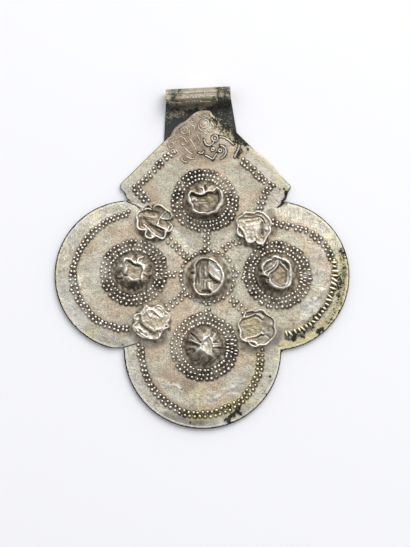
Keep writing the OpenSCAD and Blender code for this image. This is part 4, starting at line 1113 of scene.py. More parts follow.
# Rows as lines of points, with the number of dots in each
dotRows = {
    "left_lobe_dots": [
        (40, [(-21.0, 13.2), (-23.9, 12.3), (-27.7, 10.6), (-31.0, 7.9), (-33.1, 5.9), (-33.9, 4.6),
              (-35.2, 2.4), (-36.4, -0.1), (-37.3, -4.0), (-37.4, -6.7), (-37.1, -9.4), (-35.9, -11.8),
              (-34.1, -14.3), (-32.3, -16.6), (-30.0, -18.3), (-27.1, -19.7), (-24.2, -20.6), (-21.3, -20.6)]),
        (40, [(-21.6, 12.0), (-24.2, 11.1), (-26.7, 10.1), (-30.1, 7.5), (-32.2, 5.1), (-34.2, 2.7),
              (-35.3, 0.3), (-36.2, -2.3), (-36.2, -4.9), (-36.1, -7.4), (-35.4, -9.8), (-34.0, -12.3),
              (-32.4, -14.7), (-30.6, -16.4), (-28.6, -17.9), (-25.7, -19.1), (-22.7, -19.7), (-21.3, -19.6)]),
    ],
    "bottom_lobe_dots": [
        (41, [(-18.3, -24.8), (-17.9, -28.0), (-17.1, -31.0), (-16.2, -34.1), (-14.8, -36.9), (-12.7, -39.5),
              (-11.0, -41.3), (-8.5, -42.9), (-6.4, -44.2), (-3.7, -45.0), (-0.9, -45.3), (2.0, -45.3),
              (4.9, -44.7), (7.9, -43.4), (10.2, -42.0), (12.5, -40.3), (14.6, -37.3), (16.0, -34.5),
              (16.8, -32.8), (17.3, -29.4), (17.2, -27.7), (17.0, -26.1)]),
        (41, [(-17.0, -25.6), (-16.7, -28.7), (-16.1, -31.5), (-15.2, -34.5), (-13.7, -37.1), (-11.6, -39.2),
              (-8.7, -41.7), (-6.5, -43.0), (-3.8, -43.9), (0.1, -44.1), (2.9, -43.8), (5.9, -42.7),
              (8.6, -41.5), (10.7, -40.6), (12.2, -38.6), (14.1, -35.9), (15.6, -32.9), (16.0, -29.4),
              (16.0, -27.6)]),
    ],
    "right_lobe_dots": [
        (4, [(20.2, 10.7), (24.5, 9.5)]), (4, [(20.0, 9.6), (24.2, 8.5)]),
        (4, [(26.0, 9.1), (29.8, 8.2)]), (3, [(26.6, 8.1), (29.6, 7.3)]),
        (4, [(31.4, 7.2), (33.4, 5.9), (35.1, 4.3)]), (4, [(30.9, 6.3), (32.9, 4.9), (34.5, 3.3)]),
        (4, [(35.9, 3.2), (37.1, 0.6), (37.7, -0.6)]),
        (3, [(35.2, 2.2), (36.4, -0.4)]),
    ],
    "roof_dots": [
        (10, [(-19.3, 20.4), (-16.7, 22.5), (-14.0, 25.4), (-12.8, 26.7), (-10.8, 28.9), (-9.5, 29.8)]),
        (10, [(-18.1, 20.1), (-15.6, 22.1), (-13.0, 25.1), (-10.8, 27.5), (-9.8, 28.5), (-7.5, 30.1)]),
        (4, [(-19.3, 19.3), (-18.3, 18.3), (-17.1, 17.2), (-16.5, 16.2)]),
        (4, [(-17.7, 19.3), (-16.5, 18.1), (-16.0, 17.2), (-15.3, 16.3)]),
        (9, [(11.8, 28.1), (14.2, 26.1), (16.3, 24.0), (18.5, 21.8), (20.4, 20.7)]),
        (9, [(11.3, 27.1), (13.6, 25.0), (15.7, 23.0), (17.9, 21.0)]),
        (5, [(19.6, 19.7), (18.1, 17.5), (17.2, 15.2), (16.8, 14.3)]),
        (5, [(18.5, 20.1), (17.0, 17.9), (16.1, 15.4), (16.0, 14.2)]),
    ],
    "link_dots": [
        (5, [(-9.5, 4.4), (-5.1, 0.2)]), (5, [(-8.8, 5.4), (-4.4, 1.2)]),
        (4, [(6.1, 3.3), (10.2, 5.5)]), (4, [(6.7, 2.3), (10.8, 4.3)]),
        (5, [(-10.2, -13.6), (-5.5, -9.8)]), (5, [(-9.5, -14.8), (-4.8, -10.8)]),
        (4, [(8.7, -11.4), (12.5, -14.6)]), (4, [(7.9, -12.4), (11.7, -15.7)]),
        (4, [(0.8, 7.6), (0.8, 3.2)]), (4, [(1.9, 7.0), (1.8, 2.6)]),
        (3, [(-9.4, -4.0), (-6.2, -4.0)]), (3, [(-9.2, -5.2), (-6.2, -5.2)]),
        (2, [(10.2, -4.2), (11.9, -4.6)]), (2, [(9.8, -5.2), (11.6, -5.8)]),
        (2, [(1.1, -13.2), (1.0, -15.0)]), (2, [(2.2, -13.2), (2.0, -14.8)]),
    ],
}

# The lower right of the right lobe has short bars across both rows
dotBars = {
    "count": 23, "length": 2.05, "width": 0.78, "lengthSpread": 0.22, "turnSpread": 0.12,
    "outer": [(38.3, -1.4), (38.6, -4.0), (38.4, -6.6), (37.8, -9.2), (37.1, -11.4), (35.9, -14.5), (34.0, -16.9),
              (31.8, -19.1), (28.9, -20.6), (26.1, -21.7), (24.4, -22.1)],
    "inner": [(36.9, -1.2), (37.1, -3.8), (36.9, -6.4), (36.5, -8.6), (36.0, -10.7), (34.7, -13.4), (33.2, -15.6),
              (31.2, -17.8), (28.6, -19.6), (25.6, -20.8), (23.8, -21.1)],
}

# Rings of dots round a middle. The outer ring's radius is given every 30 degrees from the right, and each
# inner ring is a step nearer. Strokes are dots drawn out along the radius between two angles. Dark and pale
# places are angle, half width and strength, over the plain shade
dotRings = {
    "rosette_top": {
        "middle": (1.3, 16.1), "reach": [8.7, 8.05, 8.2, 8.6, 9.05, 9.4, 9.55, 9.5, 8.6, 8.3, 8.2, 8.6],
        "rings": 3, "step": 1.18, "count": 42, "strokes": (12, 62), "plain": 0.7,
        "dark": [(118, 28, 1.0), (-66, 26, 0.55), (-30, 16, 0.7), (2, 18, 0.4), (170, 22, 0.6)],
        "pale": [(48, 24, 0.25)],
    },
    "rosette_left": {
        "middle": (-19.4, -4.0), "reach": [9.05, 9.05, 8.85, 8.8, 8.65, 9.1, 9.3, 9.35, 9.5, 9.2, 9.2, 9.1],
        "rings": 3, "step": 1.2, "count": 42, "strokes": (-14, 42), "plain": 0.7,
        "dark": [(-148, 20, 0.55), (-103, 18, 0.75), (-24, 14, 0.45), (-4, 8, 0.4), (32, 16, 0.5), (135, 40, 0.3)],
        "pale": [(180, 24, 0.15)],
    },
    "rosette_right": {
        "middle": (21.6, -4.7), "reach": [8.95, 8.95, 8.75, 9.05, 9.45, 9.15, 9.45, 9.2, 9.35, 9.4, 9.4, 9.5],
        "rings": 3, "step": 1.2, "count": 43, "strokes": (-38, 16), "plain": 0.72,
        "dark": [(-150, 26, 0.5), (108, 34, 0.5), (45, 28, 0.35), (160, 24, 0.4)], "pale": [],
    },
    "rosette_bottom": {
        "middle": (0.3, -25.0), "reach": [9.4, 9.35, 8.8, 8.95, 8.5, 8.6, 8.95, 9.15, 9.5, 9.6, 9.55, 9.95],
        "rings": 3, "step": 1.24, "count": 43, "strokes": (-16, 28), "plain": 0.7,
        "dark": [(-98, 34, 0.55), (-40, 22, 0.6), (-8, 20, 0.75), (84, 18, 0.4)], "pale": [(176, 40, 0.36)],
    },
    "centre_ring": {
        "middle": (1.4, -5.1), "reach": [7.4, 7.65, 7.45, 7.1, 6.85, 7.25, 7.3, 7.45, 7.7, 7.4, 7.6, 8.0],
        "rings": 1, "step": 0, "count": 34, "strokes": (0, 0), "plain": 0.56,
        "dark": [(118, 50, 0.7), (-60, 30, 0.3)], "pale": [],
    },
}


# Even steps along a line; a slip moves each point along it
def spreadAlong(ends, count, slip=0.0):
    run = np.concatenate([[0], np.cumsum(np.hypot(*(ends[1:] - ends[:-1]).T))])
    at = np.linspace(0, run[-1], count) + slip
    return np.stack([np.interp(at, run, ends[:, 0]), np.interp(at, run, ends[:, 1])], 1)


def spotsAlong(line, count, draw):
    slip = draw.normal(0, dotShape["slip"], count)
    return spreadAlong(np.array(line), count, slip) + draw.normal(0, dotShape["stray"], (count, 2))


def reachAt(spec, angles):
    return np.interp(angles % 360, np.arange(0, 361, 30), spec["reach"] + spec["reach"][:1])


def ringMarks(spec, draw):
    cx, cy = spec["middle"]
    start, end = spec["strokes"]
    marks = []
    for ring in range(spec["rings"]):
        count = spec["count"]
        turn = 360 / count * (np.arange(count) + dotShape["ringTurn"] * ring)
        turn = turn + draw.normal(0, dotShape["turnSpread"], count)
        away = reachAt(spec, turn) - ring * spec["step"] + draw.normal(0, dotShape["reachSpread"], count)
        for angle, radius in zip(turn, away):
            drawn = start < (angle + 180) % 360 - 180 < end
            long, wide = dotShape["stroke" if drawn else "round"]
            size = draw.normal(1.0, dotShape["sizeSpread"])
            way = math.radians(angle)
            marks.append((cx + radius * math.cos(way), cy + radius * math.sin(way), long * size, wide * size, way))
    return marks


# One punched dot: a low dome, rings drawn in from a small circle
def makeDot():
    deselectAll()
    bpy.ops.mesh.primitive_circle_add(
        vertices=dotShape["sides"], radius=dotShape["radius"] * mm, fill_type="NOTHING")
    dot = bpy.context.object
    bpy.ops.object.mode_set(mode="EDIT")
    tall = dotShape["height"] * mm
    profile = dotShape["profile"]
    for (wide, low), (narrow, high) in zip(profile[:-1], profile[1:]):
        shrink = narrow / wide
        bpy.ops.mesh.extrude_region_move()
        bpy.ops.transform.resize(value=(shrink, shrink, 1), center_override=(0, 0, low * tall))
        bpy.ops.transform.translate(value=(0, 0, (high - low) * tall))
    bpy.ops.mesh.extrude_region_move()
    bpy.ops.mesh.merge(type="CENTER")
    bpy.ops.transform.translate(value=(0, 0, (1 - profile[-1][1]) * tall))
    closeMesh()
    height = pointsOf(dot)[:, 2] / dotShape["height"]
    # the dot's foot is darkened as patina and painted shade, and its top lightened as wear and a painted highlight
    paint(dot, "patina_and_shade", 0.9 * (1 - smoothStep(0.1, 0.75, height)))
    paint(dot, "rub_and_sheen", 0.66 * smoothStep(0.45, 0.95, height))
    return dot


# Copies of the dot, each stretched and turned a little; a mark is x, y, length, width and turn
def layDots(name, marks, dot, draw):
    copies = []
    for x, y, long, wide, turn in marks:
        lift = float(faceLift(np.array([x]), np.array([y]))[0])
        one = dot.copy()
        one.data = dot.data.copy()
        spread = dotShape["stretchSpread"]
        size = (long * draw.normal(1.0, spread), wide * draw.normal(1.0, spread),
                draw.uniform(*dotShape["heights"]))
        one.data.transform(
            Matrix.Translation(Vector((x, y, faceTop + lift - dotShape["sunk"])) * mm)
            @ Matrix.Rotation(turn, 4, "Z") @ Matrix.Diagonal((*size, 1)))
        bpy.context.collection.objects.link(one)
        copies.append(one)
    return finishPiece(joinAll(copies), name, dotSilver, "satin_silver")


def roundMarks(spots, size, draw):
    return [(x, y, size, size, draw.uniform(0, math.pi)) for x, y in spots]


def barMarks(draw):
    outer = spotsAlong(dotBars["outer"], dotBars["count"], draw)
    inner = spotsAlong(dotBars["inner"], dotBars["count"], draw)
    middle = (outer + inner) / 2
    turn = np.arctan2(*(outer - inner).T[::-1]) + draw.normal(0, dotBars["turnSpread"], len(outer))
    across = 2 * dotShape["radius"]
    long = dotBars["length"] / across * draw.normal(1.0, dotBars["lengthSpread"], len(outer))
    wide = dotBars["width"] / across
    return [(x, y, size, wide, a) for (x, y), size, a in zip(middle, long, turn)]


dot = makeDot()
draw = np.random.default_rng(11)
dotMarks = {}
for name, rows in dotRows.items():
    dotMarks[name] = roundMarks(np.concatenate([spotsAlong(line, count, draw) for count, line in rows]), 1.0, draw)
dotMarks["right_lobe_bars"] = barMarks(draw)
for name, spec in dotRings.items():
    dotMarks[name] = ringMarks(spec, draw)
standing = [layDots(name, marks, dot, draw) for name, marks in dotMarks.items()]
bpy.data.objects.remove(dot)
print("dots ready:", sum(len(marks) for marks in dotMarks.values()))


# Rings and curls of a thin raised wire: its half width and height, how dark and how black its feet are, as patina
# and painted shade, and how bright its crest is, as a painted highlight. The faint ones are thinner and lower
tipCurls = {
    "crisp": {
        "width": 0.25, "height": 0.36, "shade": 1.0, "blackPatinaAndShade": 0.7, "shine": 1.0,
        "rings": [(3.7, 34.1, 0.85), (5.2, 30.6, 0.45), (3.1, 30.9, 0.4)],
        "lines": [
            [(5.0, 34.5), (6.4, 34.3), (7.8, 33.5), (9.0, 32.3)],
            [(10.7, 32.2), (10.4, 30.9), (9.7, 29.7), (9.3, 28.6)],
            [(0.6, 33.8), (0.9, 32.6), (1.8, 31.9), (2.8, 32.3), (3.4, 33.0)],
            [(5.2, 32.1), (6.4, 31.7), (7.0, 30.5), (6.6, 29.1), (5.4, 28.2)],
            [(0.9, 29.2), (2.1, 28.7), (3.1, 27.9), (3.6, 28.9), (4.3, 29.7)],
            [(-1.0, 30.0), (0.0, 29.6), (0.6, 30.4)],
        ],
    },
    "faint": {
        "width": 0.18, "height": 0.15, "shade": 0.56, "blackPatinaAndShade": 0.0, "shine": 0.36,
        "rings": [(0.7, 38.3, 1.25), (-5.0, 36.3, 1.0), (-8.8, 32.2, 0.8), (-8.3, 30.4, 0.5), (-2.6, 39.4, 0.6)],
        "lines": [
            [(-7.4, 33.6), (-6.4, 34.6), (-5.0, 34.2), (-4.4, 33.0)],
            [(-9.8, 30.2), (-8.4, 28.6), (-6.8, 29.4), (-6.2, 31.0)],
            [(-3.2, 38.0), (-2.0, 37.2), (-2.3, 35.9), (-3.2, 35.4)],
            [(-1.4, 35.0), (-0.6, 33.8), (-1.0, 32.4)],
            [(-3.4, 33.8), (-2.4, 32.4), (-1.7, 30.8)],
            [(-5.0, 31.4), (-4.0, 30.2), (-2.8, 29.6)],
            [(-0.6, 40.2), (0.8, 40.6), (2.2, 40.0)],
            [(1.6, 36.2), (2.8, 36.0), (3.6, 36.6)],
            [(-6.6, 37.0), (-5.6, 38.2), (-4.4, 38.4)],
            [(-7.6, 35.4), (-8.6, 34.2), (-9.8, 34.0)],
            [(-5.8, 32.4), (-5.0, 32.0), (-4.2, 32.6), (-3.8, 33.6)],
            [(-1.0, 38.0), (-0.9, 36.6), (0.4, 36.0)],
            [(-3.6, 36.6), (-3.6, 34.9)],
            [(-7.0, 32.0), (-7.6, 31.0), (-7.0, 30.2)],
            [(-4.6, 29.0), (-3.4, 28.2), (-2.2, 28.2)],
            [(2.6, 38.6), (3.4, 37.6), (3.0, 36.9)],
            [(-6.0, 28.4), (-5.4, 27.4), (-4.2, 27.2)],
        ],
    },
}


# A line with its corners cut twice, as even steps
def smoothLine(line, count):
    ends = np.array(line, float)
    for _ in range(2):
        quarter, rest = 0.75 * ends[:-1] + 0.25 * ends[1:], 0.25 * ends[:-1] + 0.75 * ends[1:]
        ends = np.concatenate([ends[:1], np.stack([quarter, rest], 1).reshape(-1, 2), ends[-1:]])
    return spreadAlong(ends, count)


def ringLine(cx, cy, radius):
    turn = np.linspace(0.4, 2 * math.pi + 0.4, 19)
    return np.stack([cx + radius * np.cos(turn), cy + radius * np.sin(turn)], 1)


# A thin wire drawn along a line by extruding its end, step by step
def drawWire(line, width):
    heading = [math.atan2(*(b - a)[::-1]) for a, b in zip(line[:-1], line[1:])]
    deselectAll()
    bpy.ops.mesh.primitive_circle_add(
        vertices=8, radius=width * mm, fill_type="NGON", location=(line[0][0] * mm, line[0][1] * mm, 0),
        rotation=(math.pi / 2, 0, heading[0] + math.pi / 2))
    wire = bpy.context.object
    bpy.ops.object.transform_apply(location=True, rotation=True, scale=True)
    bpy.ops.object.mode_set(mode="EDIT")
    for step, (start, end) in enumerate(zip(line[:-1], line[1:])):
        bpy.ops.mesh.extrude_region_move()
        bpy.ops.transform.translate(value=((end[0] - start[0]) * mm, (end[1] - start[1]) * mm, 0))
        if step + 1 < len(heading):
            bend = (heading[step + 1] - heading[step] + math.pi) % (2 * math.pi) - math.pi
            bpy.ops.transform.rotate(value=-bend, orient_axis="Z", center_override=(end[0] * mm, end[1] * mm, 0))
    closeMesh()
    return wire


def makeCurls(name, spec):
    lines = [ringLine(*ring) for ring in spec["rings"]]
    lines += [smoothLine(line, 12) for line in spec["lines"]]
    obj = joinAll([drawWire(line, spec["width"]) for line in lines])
    points = pointsOf(obj)
    crest = points[:, 2] / spec["width"]
    # a painted highlight on the crest, and patina with painted shade at the feet
    paint(obj, "rub_and_sheen", smoothStep(0.1, 0.7, crest) * spec["shine"])
    paint(obj, "patina_and_shade", (1 - smoothStep(-0.3, 0.3, crest)) * spec["shade"])
    points[:, 2] = faceTop + faceLift(points[:, 0], points[:, 1]) + crest * spec["height"]
    movePoints(obj, points)
    return finishPiece(obj, name, dotSilver, "satin_silver")


standing += [makeCurls(kind + "_tip_curls", spec) for kind, spec in tipCurls.items()]
print("curls ready")


faceSheet = {
    "cell": 0.32, "flat": 0.30, "edgeRadius": 0.2,
    # the shadow round large and small bosses, the inner edge of the margin, the heights between which the tip
    # starts and the lobes end, and the notches beside the roof
    "ringedShadow": (6.0, 7.4), "plainShadow": (4.9, 6.5), "margin": (3.2, 4.6), "tip": (27.0, 31.0),
    "lobes": (17.0, 19.0), "notches": [(21.4, 16.0), (-19.6, 16.3)],
    # pushes that make the outline uneven: place, reach, push
    "nudges": [(-7.0, 37.2, 3.4, -0.5, 0.5), (3.9, 40.4, 2.4, -0.75, -0.75), (8.6, 36.0, 1.6, 0.25, 0.25),
               (21.2, 16.1, 4.2, 2.0, 0.0), (-19.6, 16.4, 3.2, -1.2, 0.1), (18.6, 26.8, 6.5, 0.4, 0.4)],
    # painted places: middle, reach, strength
    "stain_and_shadow": [
        (26.1, -22.8, 1.6, 0.8), (24.8, -22.9, 1.2, 0.7), (28.6, -22.4, 1.2, 0.6), (34.3, -20.4, 1.2, 0.85),
        (33.2, -21.0, 1.1, 0.8), (10.0, -43.6, 1.1, 0.9), (9.2, -45.1, 0.7, 0.8), (7.6, -46.5, 0.8, 0.9),
        (11.0, -44.4, 0.8, 0.8), (39.6, 1.8, 0.9, 0.6), (40.2, 0.2, 0.6, 0.6), (40.9, -2.4, 0.8, 0.6),
        (41.0, -5.0, 0.8, 0.6), (13.1, 31.0, 0.5, 0.8), (23.4, 19.6, 0.5, 0.8), (22.1, 19.5, 0.5, 0.7),
        (-36.0, -16.3, 0.4, 0.7), (-35.8, -19.5, 0.4, 0.7), (-37.1, -14.9, 0.3, 0.7), (-5.9, -37.5, 0.4, 0.7),
        (-3.3, -46.9, 0.5, 0.8), (17.3, -38.7, 0.4, 0.7), (18.2, -38.7, 0.4, 0.7), (19.4, -33.8, 0.6, 0.8),
        (2.0, 41.0, 0.5, 0.7), (38.8, -9.0, 0.9, 0.55),
    ],
    "gold": [
        (36.6, 4.4, 3.5, 0.5), (16.9, -42.7, 3.0, 0.6), (10.3, -47.3, 2.6, 0.6), (7.6, -43.2, 3.2, 0.9),
        (12.6, -39.8, 2.4, 0.8), (15.8, -29.0, 2.4, 0.6), (22.4, -26.6, 2.4, 0.6), (24.0, 18.4, 2.2, 0.7),
        (-8.4, -37.0, 2.6, 0.5), (-2.0, -38.4, 2.4, 0.4), (-33.4, -5.0, 3.2, 0.18), (-30.6, -14.4, 3.0, 0.2),
        (4.2, 40.0, 2.6, 0.64), (5.8, 38.4, 3.0, 0.64), (8.0, 36.0, 2.8, 0.62), (10.3, 33.4, 2.6, 0.56),
        (21.6, 22.3, 2.5, 0.5),
        (-40.7, 1.1, 2.5, 0.5), (-31.5, -21.4, 3.0, 0.5), (28.0, 15.0, 1.8, 0.4), (35.6, 10.0, 1.8, 0.4),
        (-30.2, 12.8, 2.4, 0.5), (0.0, -43.0, 3.0, 0.5), (-17.6, -27.0, 2.0, 0.5), (22.0, -28.0, 2.5, 0.5),
    ],
    "cool": [
        (10.3, -35.4, 4.5, 0.65), (3.0, -40.0, 3.0, 0.6), (31.5, -14.8, 5.0, 0.9), (-8.2, -37.8, 3.0, 0.8),
        (13.6, -32.0, 3.0, 0.5), (31.6, -4.6, 4.0, 0.6), (27.0, 12.4, 3.4, 0.6), (32.4, 9.6, 3.0, 0.6),
        (-9.0, -2.0, 2.5, 0.5), (-9.6, 1.6, 2.5, 0.5),
    ],
    "warm": [(38.0, -13.4, 2.4, 0.8), (39.6, -8.0, 1.8, 0.6), (-33.0, -6.0, 2.6, 0.45), (-34.0, -1.0, 2.2, 0.35),
             (-4.0, -36.6, 3.0, 0.6), (5.0, -35.0, 3.0, 0.5), (-26.0, 8.0, 3.0, 0.6)],
    # lighter patches, worn and with painted sheen
    "rub_and_sheen": [
        (-30.5, -3.0, 6.5, 0.42), (-38.6, -8.4, 5.0, 0.42), (-38.2, -13.4, 4.0, 0.6), (-35.4, -17.4, 4.6, 0.62),
        (-33.4, -12.0, 2.6, 0.4),
        (-28.0, -21.5, 4.0, 0.36), (-16.4, -29.4, 2.6, 0.36), (-3.4, 5.4, 2.4, 0.34), (29.2, 6.6, 2.2, 0.38),
        (35.2, -3.4, 2.4, 0.46), (38.6, -11.0, 2.6, 0.4), (36.6, -16.6, 2.4, 0.44), (30.6, -22.0, 2.4, 0.44),
        (-2.2, -13.0, 2.2, 0.36),
        (-29.0, 6.0, 5.0, 0.3), (33.8, 2.0, 4.5, 0.36), (34.0, -8.0, 4.0, 0.34), (31.6, -14.0, 3.5, 0.36),
        (3.4, -46.4, 4.0, 0.36), (-18.4, -32.4, 4.0, 0.3), (-7.4, -38.0, 3.5, 0.3), (27.4, 9.4, 4.0, 0.28),
    ],
    "green": [
        (40.5, -2.9, 0.8, 0.8), (40.5, -4.3, 0.8, 0.8), (-22.6, -24.8, 0.6, 0.8), (39.2, -1.0, 0.8, 0.4),
        (39.6, -6.4, 0.9, 0.6),
    ],
    # painted lines: strength, reach, points
    "lines": {
        "stain_and_shadow": [
            (0.56, 1.5, [(36.0, 2.4), (37.6, -1.4), (37.9, -5.0)]),
            (0.66, 1.5, [(37.9, -5.0), (37.3, -9.0), (35.8, -13.2), (33.0, -16.6), (30.0, -19.2)]),
            (0.66, 1.6, [(31.2, -19.6), (27.6, -21.6), (24.4, -22.4)]),
            # the next two black lines are painted shadow at the notches beside the roof
            (0.95, 0.7, [(23.8, 18.7), (22.2, 17.2), (21.1, 16.0), (20.8, 14.8)]),
            (0.46, 0.5, [(-19.6, 16.3), (-18.6, 15.3), (-17.8, 14.2)]),
            (0.56, 1.8, [(3.6, 40.0), (7.2, 36.6), (9.8, 33.6)]),
            (0.5, 1.7, [(39.8, 2.0), (40.4, -2.0), (40.2, -6.0), (39.8, -9.4), (39.0, -13.0)]),
            (0.56, 1.5, [(39.2, -6.0), (39.4, -12.4)]),
            (0.42, 1.6, [(38.2, -14.6), (35.4, -18.4)]), (0.44, 2.6, [(3.4, 39.0), (8.0, 34.6)]),
            (0.54, 1.3, [(9.4, 35.0), (10.6, 32.8), (10.8, 31.0), (10.0, 28.8)]),
            (0.72, 1.6, [(5.8, 38.8), (7.4, 37.3), (9.4, 35.3), (11.2, 33.6), (12.4, 32.6)]),
            (0.72, 0.9, [(7.0, -46.2), (8.8, -44.8), (10.6, -42.9)]),
            (0.44, 1.0, [(-6.0, -44.2), (0.0, -44.8), (5.0, -44.0), (9.0, -42.2)]),
            (0.4, 1.3, [(30.6, 7.4), (33.4, 5.4), (35.4, 3.2)]),
            (0.35, 1.2, [(-18.4, -27.0), (-16.6, -33.6), (-12.4, -39.6), (-6.0, -43.6)]),
            (0.3, 1.2, [(16.6, -28.0), (15.6, -33.6), (12.4, -39.4)]),
        ],
        "gold": [
            (0.5, 1.1, [(25.0, 16.0), (32.0, 13.2), (37.8, 8.0), (40.8, 2.0), (41.6, -3.0)]),
            (0.8, 2.8, [(40.2, 0.0), (40.4, -8.0), (38.6, -15.0), (34.4, -20.4), (29.2, -23.4), (24.0, -25.2)]),
            (0.95, 1.9, [(-3.0, -45.0), (3.0, -44.8), (8.0, -43.0), (12.4, -40.0)]),
            (0.6, 1.7, [(13.0, -39.0), (16.4, -31.0), (16.4, -27.0)]),
            (0.6, 1.7, [(37.4, 0.4), (37.9, -4.4), (37.2, -9.4), (36.4, -11.4), (33.6, -16.0), (28.8, -20.0),
                        (24.0, -21.6)]),
            (0.45, 1.0, [(-38.8, 6.0), (-41.2, -2.0), (-41.0, -10.0), (-38.0, -17.0)]),
            (0.5, 0.8, [(-12.0, 31.2), (-17.0, 26.6), (-22.0, 21.8)]), (0.5, 0.8, [(14.4, 30.4), (22.0, 23.2)]),
        ],
        "cool": [
            (0.6, 1.4, [(-10.4, 30.4), (-20.6, 20.6)]), (0.6, 1.4, [(13.4, 28.8), (21.0, 21.6)]),
            (0.5, 1.6, [(-24.0, 12.4), (-31.0, 9.6), (-36.6, 4.4), (-38.8, -2.4)]),
        ],
        "warm": [
            (0.7, 2.6, [(10.0, 30.4), (15.0, 26.4), (20.6, 21.0), (22.6, 18.4)]),
            (0.5, 2.4, [(-10.0, 30.0), (-20.6, 20.4)]),
            (0.62, 4.5, [(-7.5, 35.0), (-8.0, 31.5), (-3.0, 32.5), (-1.0, 36.0), (-2.5, 38.5)]),
            (0.6, 4.0, [(-4.0, 29.0), (2.0, 28.5), (6.0, 30.0)]),
            (0.6, 2.4, [(-8.0, -46.0), (0.0, -47.6), (8.0, -46.4)]),
        ],
        "patina_and_shade": [
            (0.58, 1.6, [(19.4, 13.0), (20.8, 10.4), (20.4, 7.2)]),
            (0.42, 0.9, [(30.6, -13.2), (31.4, -15.6)]),
            # painted shadow at the left notch
            (0.28, 2.0, [(-19.4, 15.6), (-20.4, 12.6)]),
            (0.62, 1.1, [(-3.6, -0.6), (-1.0, 0.9), (2.0, 1.2), (4.8, -0.2)]),
            (0.4, 1.6, [(11.4, -22.6), (11.8, -25.4)]),
            (0.34, 2.2, [(10.6, -37.0), (12.6, -34.0)]),
            (0.46, 2.2, [(-11.6, -11.6), (-11.4, -14.4)]),
            (0.42, 2.0, [(-21.4, -19.6), (-19.6, -21.0)]),
            # painted shadow at the right notch
            (0.5, 1.6, [(21.6, 15.4), (22.8, 17.2)]),
            # patina with painted shade on the lower side of the two lower bosses
            (0.5, 1.8, [(-18.4, -23.2), (-14.4, -25.0), (-10.4, -23.4)]),
            (0.5, 1.8, [(12.4, -25.8), (16.6, -26.4), (20.6, -24.4), (22.2, -21.0)]),
            (0.26, 6.0, [(-13.0, 22.0), (-4.0, 27.6), (6.0, 27.6), (14.0, 22.0)]),
            (0.42, 3.6, [(-6.5, 36.5), (-7.5, 32.5), (-2.5, 33.0), (-1.5, 36.5)]),
            (0.44, 3.4, [(-4.0, 29.5), (2.0, 31.0), (7.0, 33.0)]),
            (0.46, 2.0, [(-10.0, -45.2), (-3.0, -47.2), (3.0, -47.6)]),
            (0.54, 2.0, [(3.8, 39.2), (5.6, 37.4), (8.4, 34.8)]),
            (0.46, 1.8, [(0.6, 40.6), (3.6, 39.4), (6.6, 36.8)]),
            (0.28, 2.6, [(9.0, 33.6), (14.0, 28.6), (20.0, 23.2), (23.6, 20.2)]),
            (0.2, 2.2, [(-12.0, 30.0), (-18.0, 24.4), (-22.0, 20.4)]),
            (0.3, 2.5, [(-12.0, -33.0), (-8.0, -34.6), (-3.0, -36.4)]),
        ],
        # bright lines on crease crests are painted highlights as well as wear
        "rub_and_sheen": [
            (0.7, 0.5, [(-12.1, -35.5), (-9.0, -36.3), (-6.9, -36.5), (-5.9, -38.1)]),
            (0.5, 0.5, [(3.5, -40.1), (8.4, -37.0), (12.1, -35.0)]),
            (0.35, 0.5, [(29.9, 4.7), (29.5, 3.4)]),
            (0.6, 0.35, [(29.6, -12.4), (31.6, -14.2), (33.6, -12.0)]),
            (0.5, 0.6, [(34.4, 2.2), (34.4, 0.2)]),
            (0.7, 0.6, [(30.8, -13.9), (32.5, -11.8)]),
            (0.5, 0.5, [(26.8, -18.6), (31.2, -15.8)]),
            (0.5, 0.6, [(-35.3, -5.5), (-34.6, -8.4)]),
        ],
    },
}


# A finish painted on the sheet as spots and lines; the feet of the curls are among its dark lines
def painted(x, y, finish):
    mask = np.zeros(len(x))
    for cx, cy, reach, strength in faceSheet.get(finish, []):
        mask = np.maximum(mask, strength * (1 - smoothStep(0.3 * reach, 1.25 * reach, np.hypot(x - cx, y - cy))))
    lines = faceSheet["lines"].get(finish, [])
    darkness = {"patina_and_shade": "shade", "stain_and_shadow": "blackPatinaAndShade"}.get(finish)
    if darkness:
        for spec in tipCurls.values():
            drawn = spec["lines"] + [ringLine(*ring).tolist() for ring in spec["rings"]]
            lines = lines + [(spec[darkness], 0.6, line) for line in drawn]
    for strength, reach, line in lines:
        mask = np.maximum(mask, strength * (1 - smoothStep(0.3 * reach, 1.25 * reach, distanceTo(x, y, line))))
    return mask


# How dark one field is at a place, and how black
def shadeAt(name, x, y):
    if name not in dotRings:
        return dotShade[name], 0.0
    spec = dotRings[name]
    turn = math.degrees(math.atan2(y - spec["middle"][1], x - spec["middle"][0]))
    black, pale = (
        max([strength * (1 - float(smoothStep(0.35, 1.25, abs((turn - angle + 180) % 360 - 180) / half)))
             for angle, half, strength in spec[kind]], default=0.0)
        for kind in ("dark", "pale"))
    return (spec["plain"] + (1 - spec["plain"]) * black) * (1 - pale), black


# Patina round each dot, with painted shadow on the side away from the window, black where a field is darkest,
# and a brown warmth further out
def shadeRoundDots(x, y):
    # each centre is moved away from the window, so the darkness falls as painted shadow on that side
    spots = [(mx + 0.08, my - 0.10, *shadeAt(name, mx, my), name in dotRings)
             for name, marks in dotMarks.items() for mx, my, *_ in marks]
    tree = KDTree(len(spots))
    for index, (sx, sy, *_) in enumerate(spots):
        tree.insert((sx, sy, 0), index)
    tree.balance()
    found = [tree.find((px, py, 0)) for px, py in zip(x, y)]
    away = np.array([hit[2] for hit in found])
    shade, black, ringed = (np.array([spots[hit[1]][column] for hit in found]) for column in (2, 3, 4))
    blotch = 1 + 0.15 * ripples(x, y, 4.0, 77)
    crevice = shade * blotch * (1 - smoothStep(0.5 + 0.1 * ringed, 0.9 + 0.2 * ringed, away))
    blackPatinaAndShade = (0.34 * shade + 0.36 * black) * blotch * (1 - smoothStep(0.6, 1.0, away))
    warmth = 0.5 * shade * blotch * (1 - smoothStep(0.7, 3.0, away))
    return crevice, blackPatinaAndShade, warmth, away


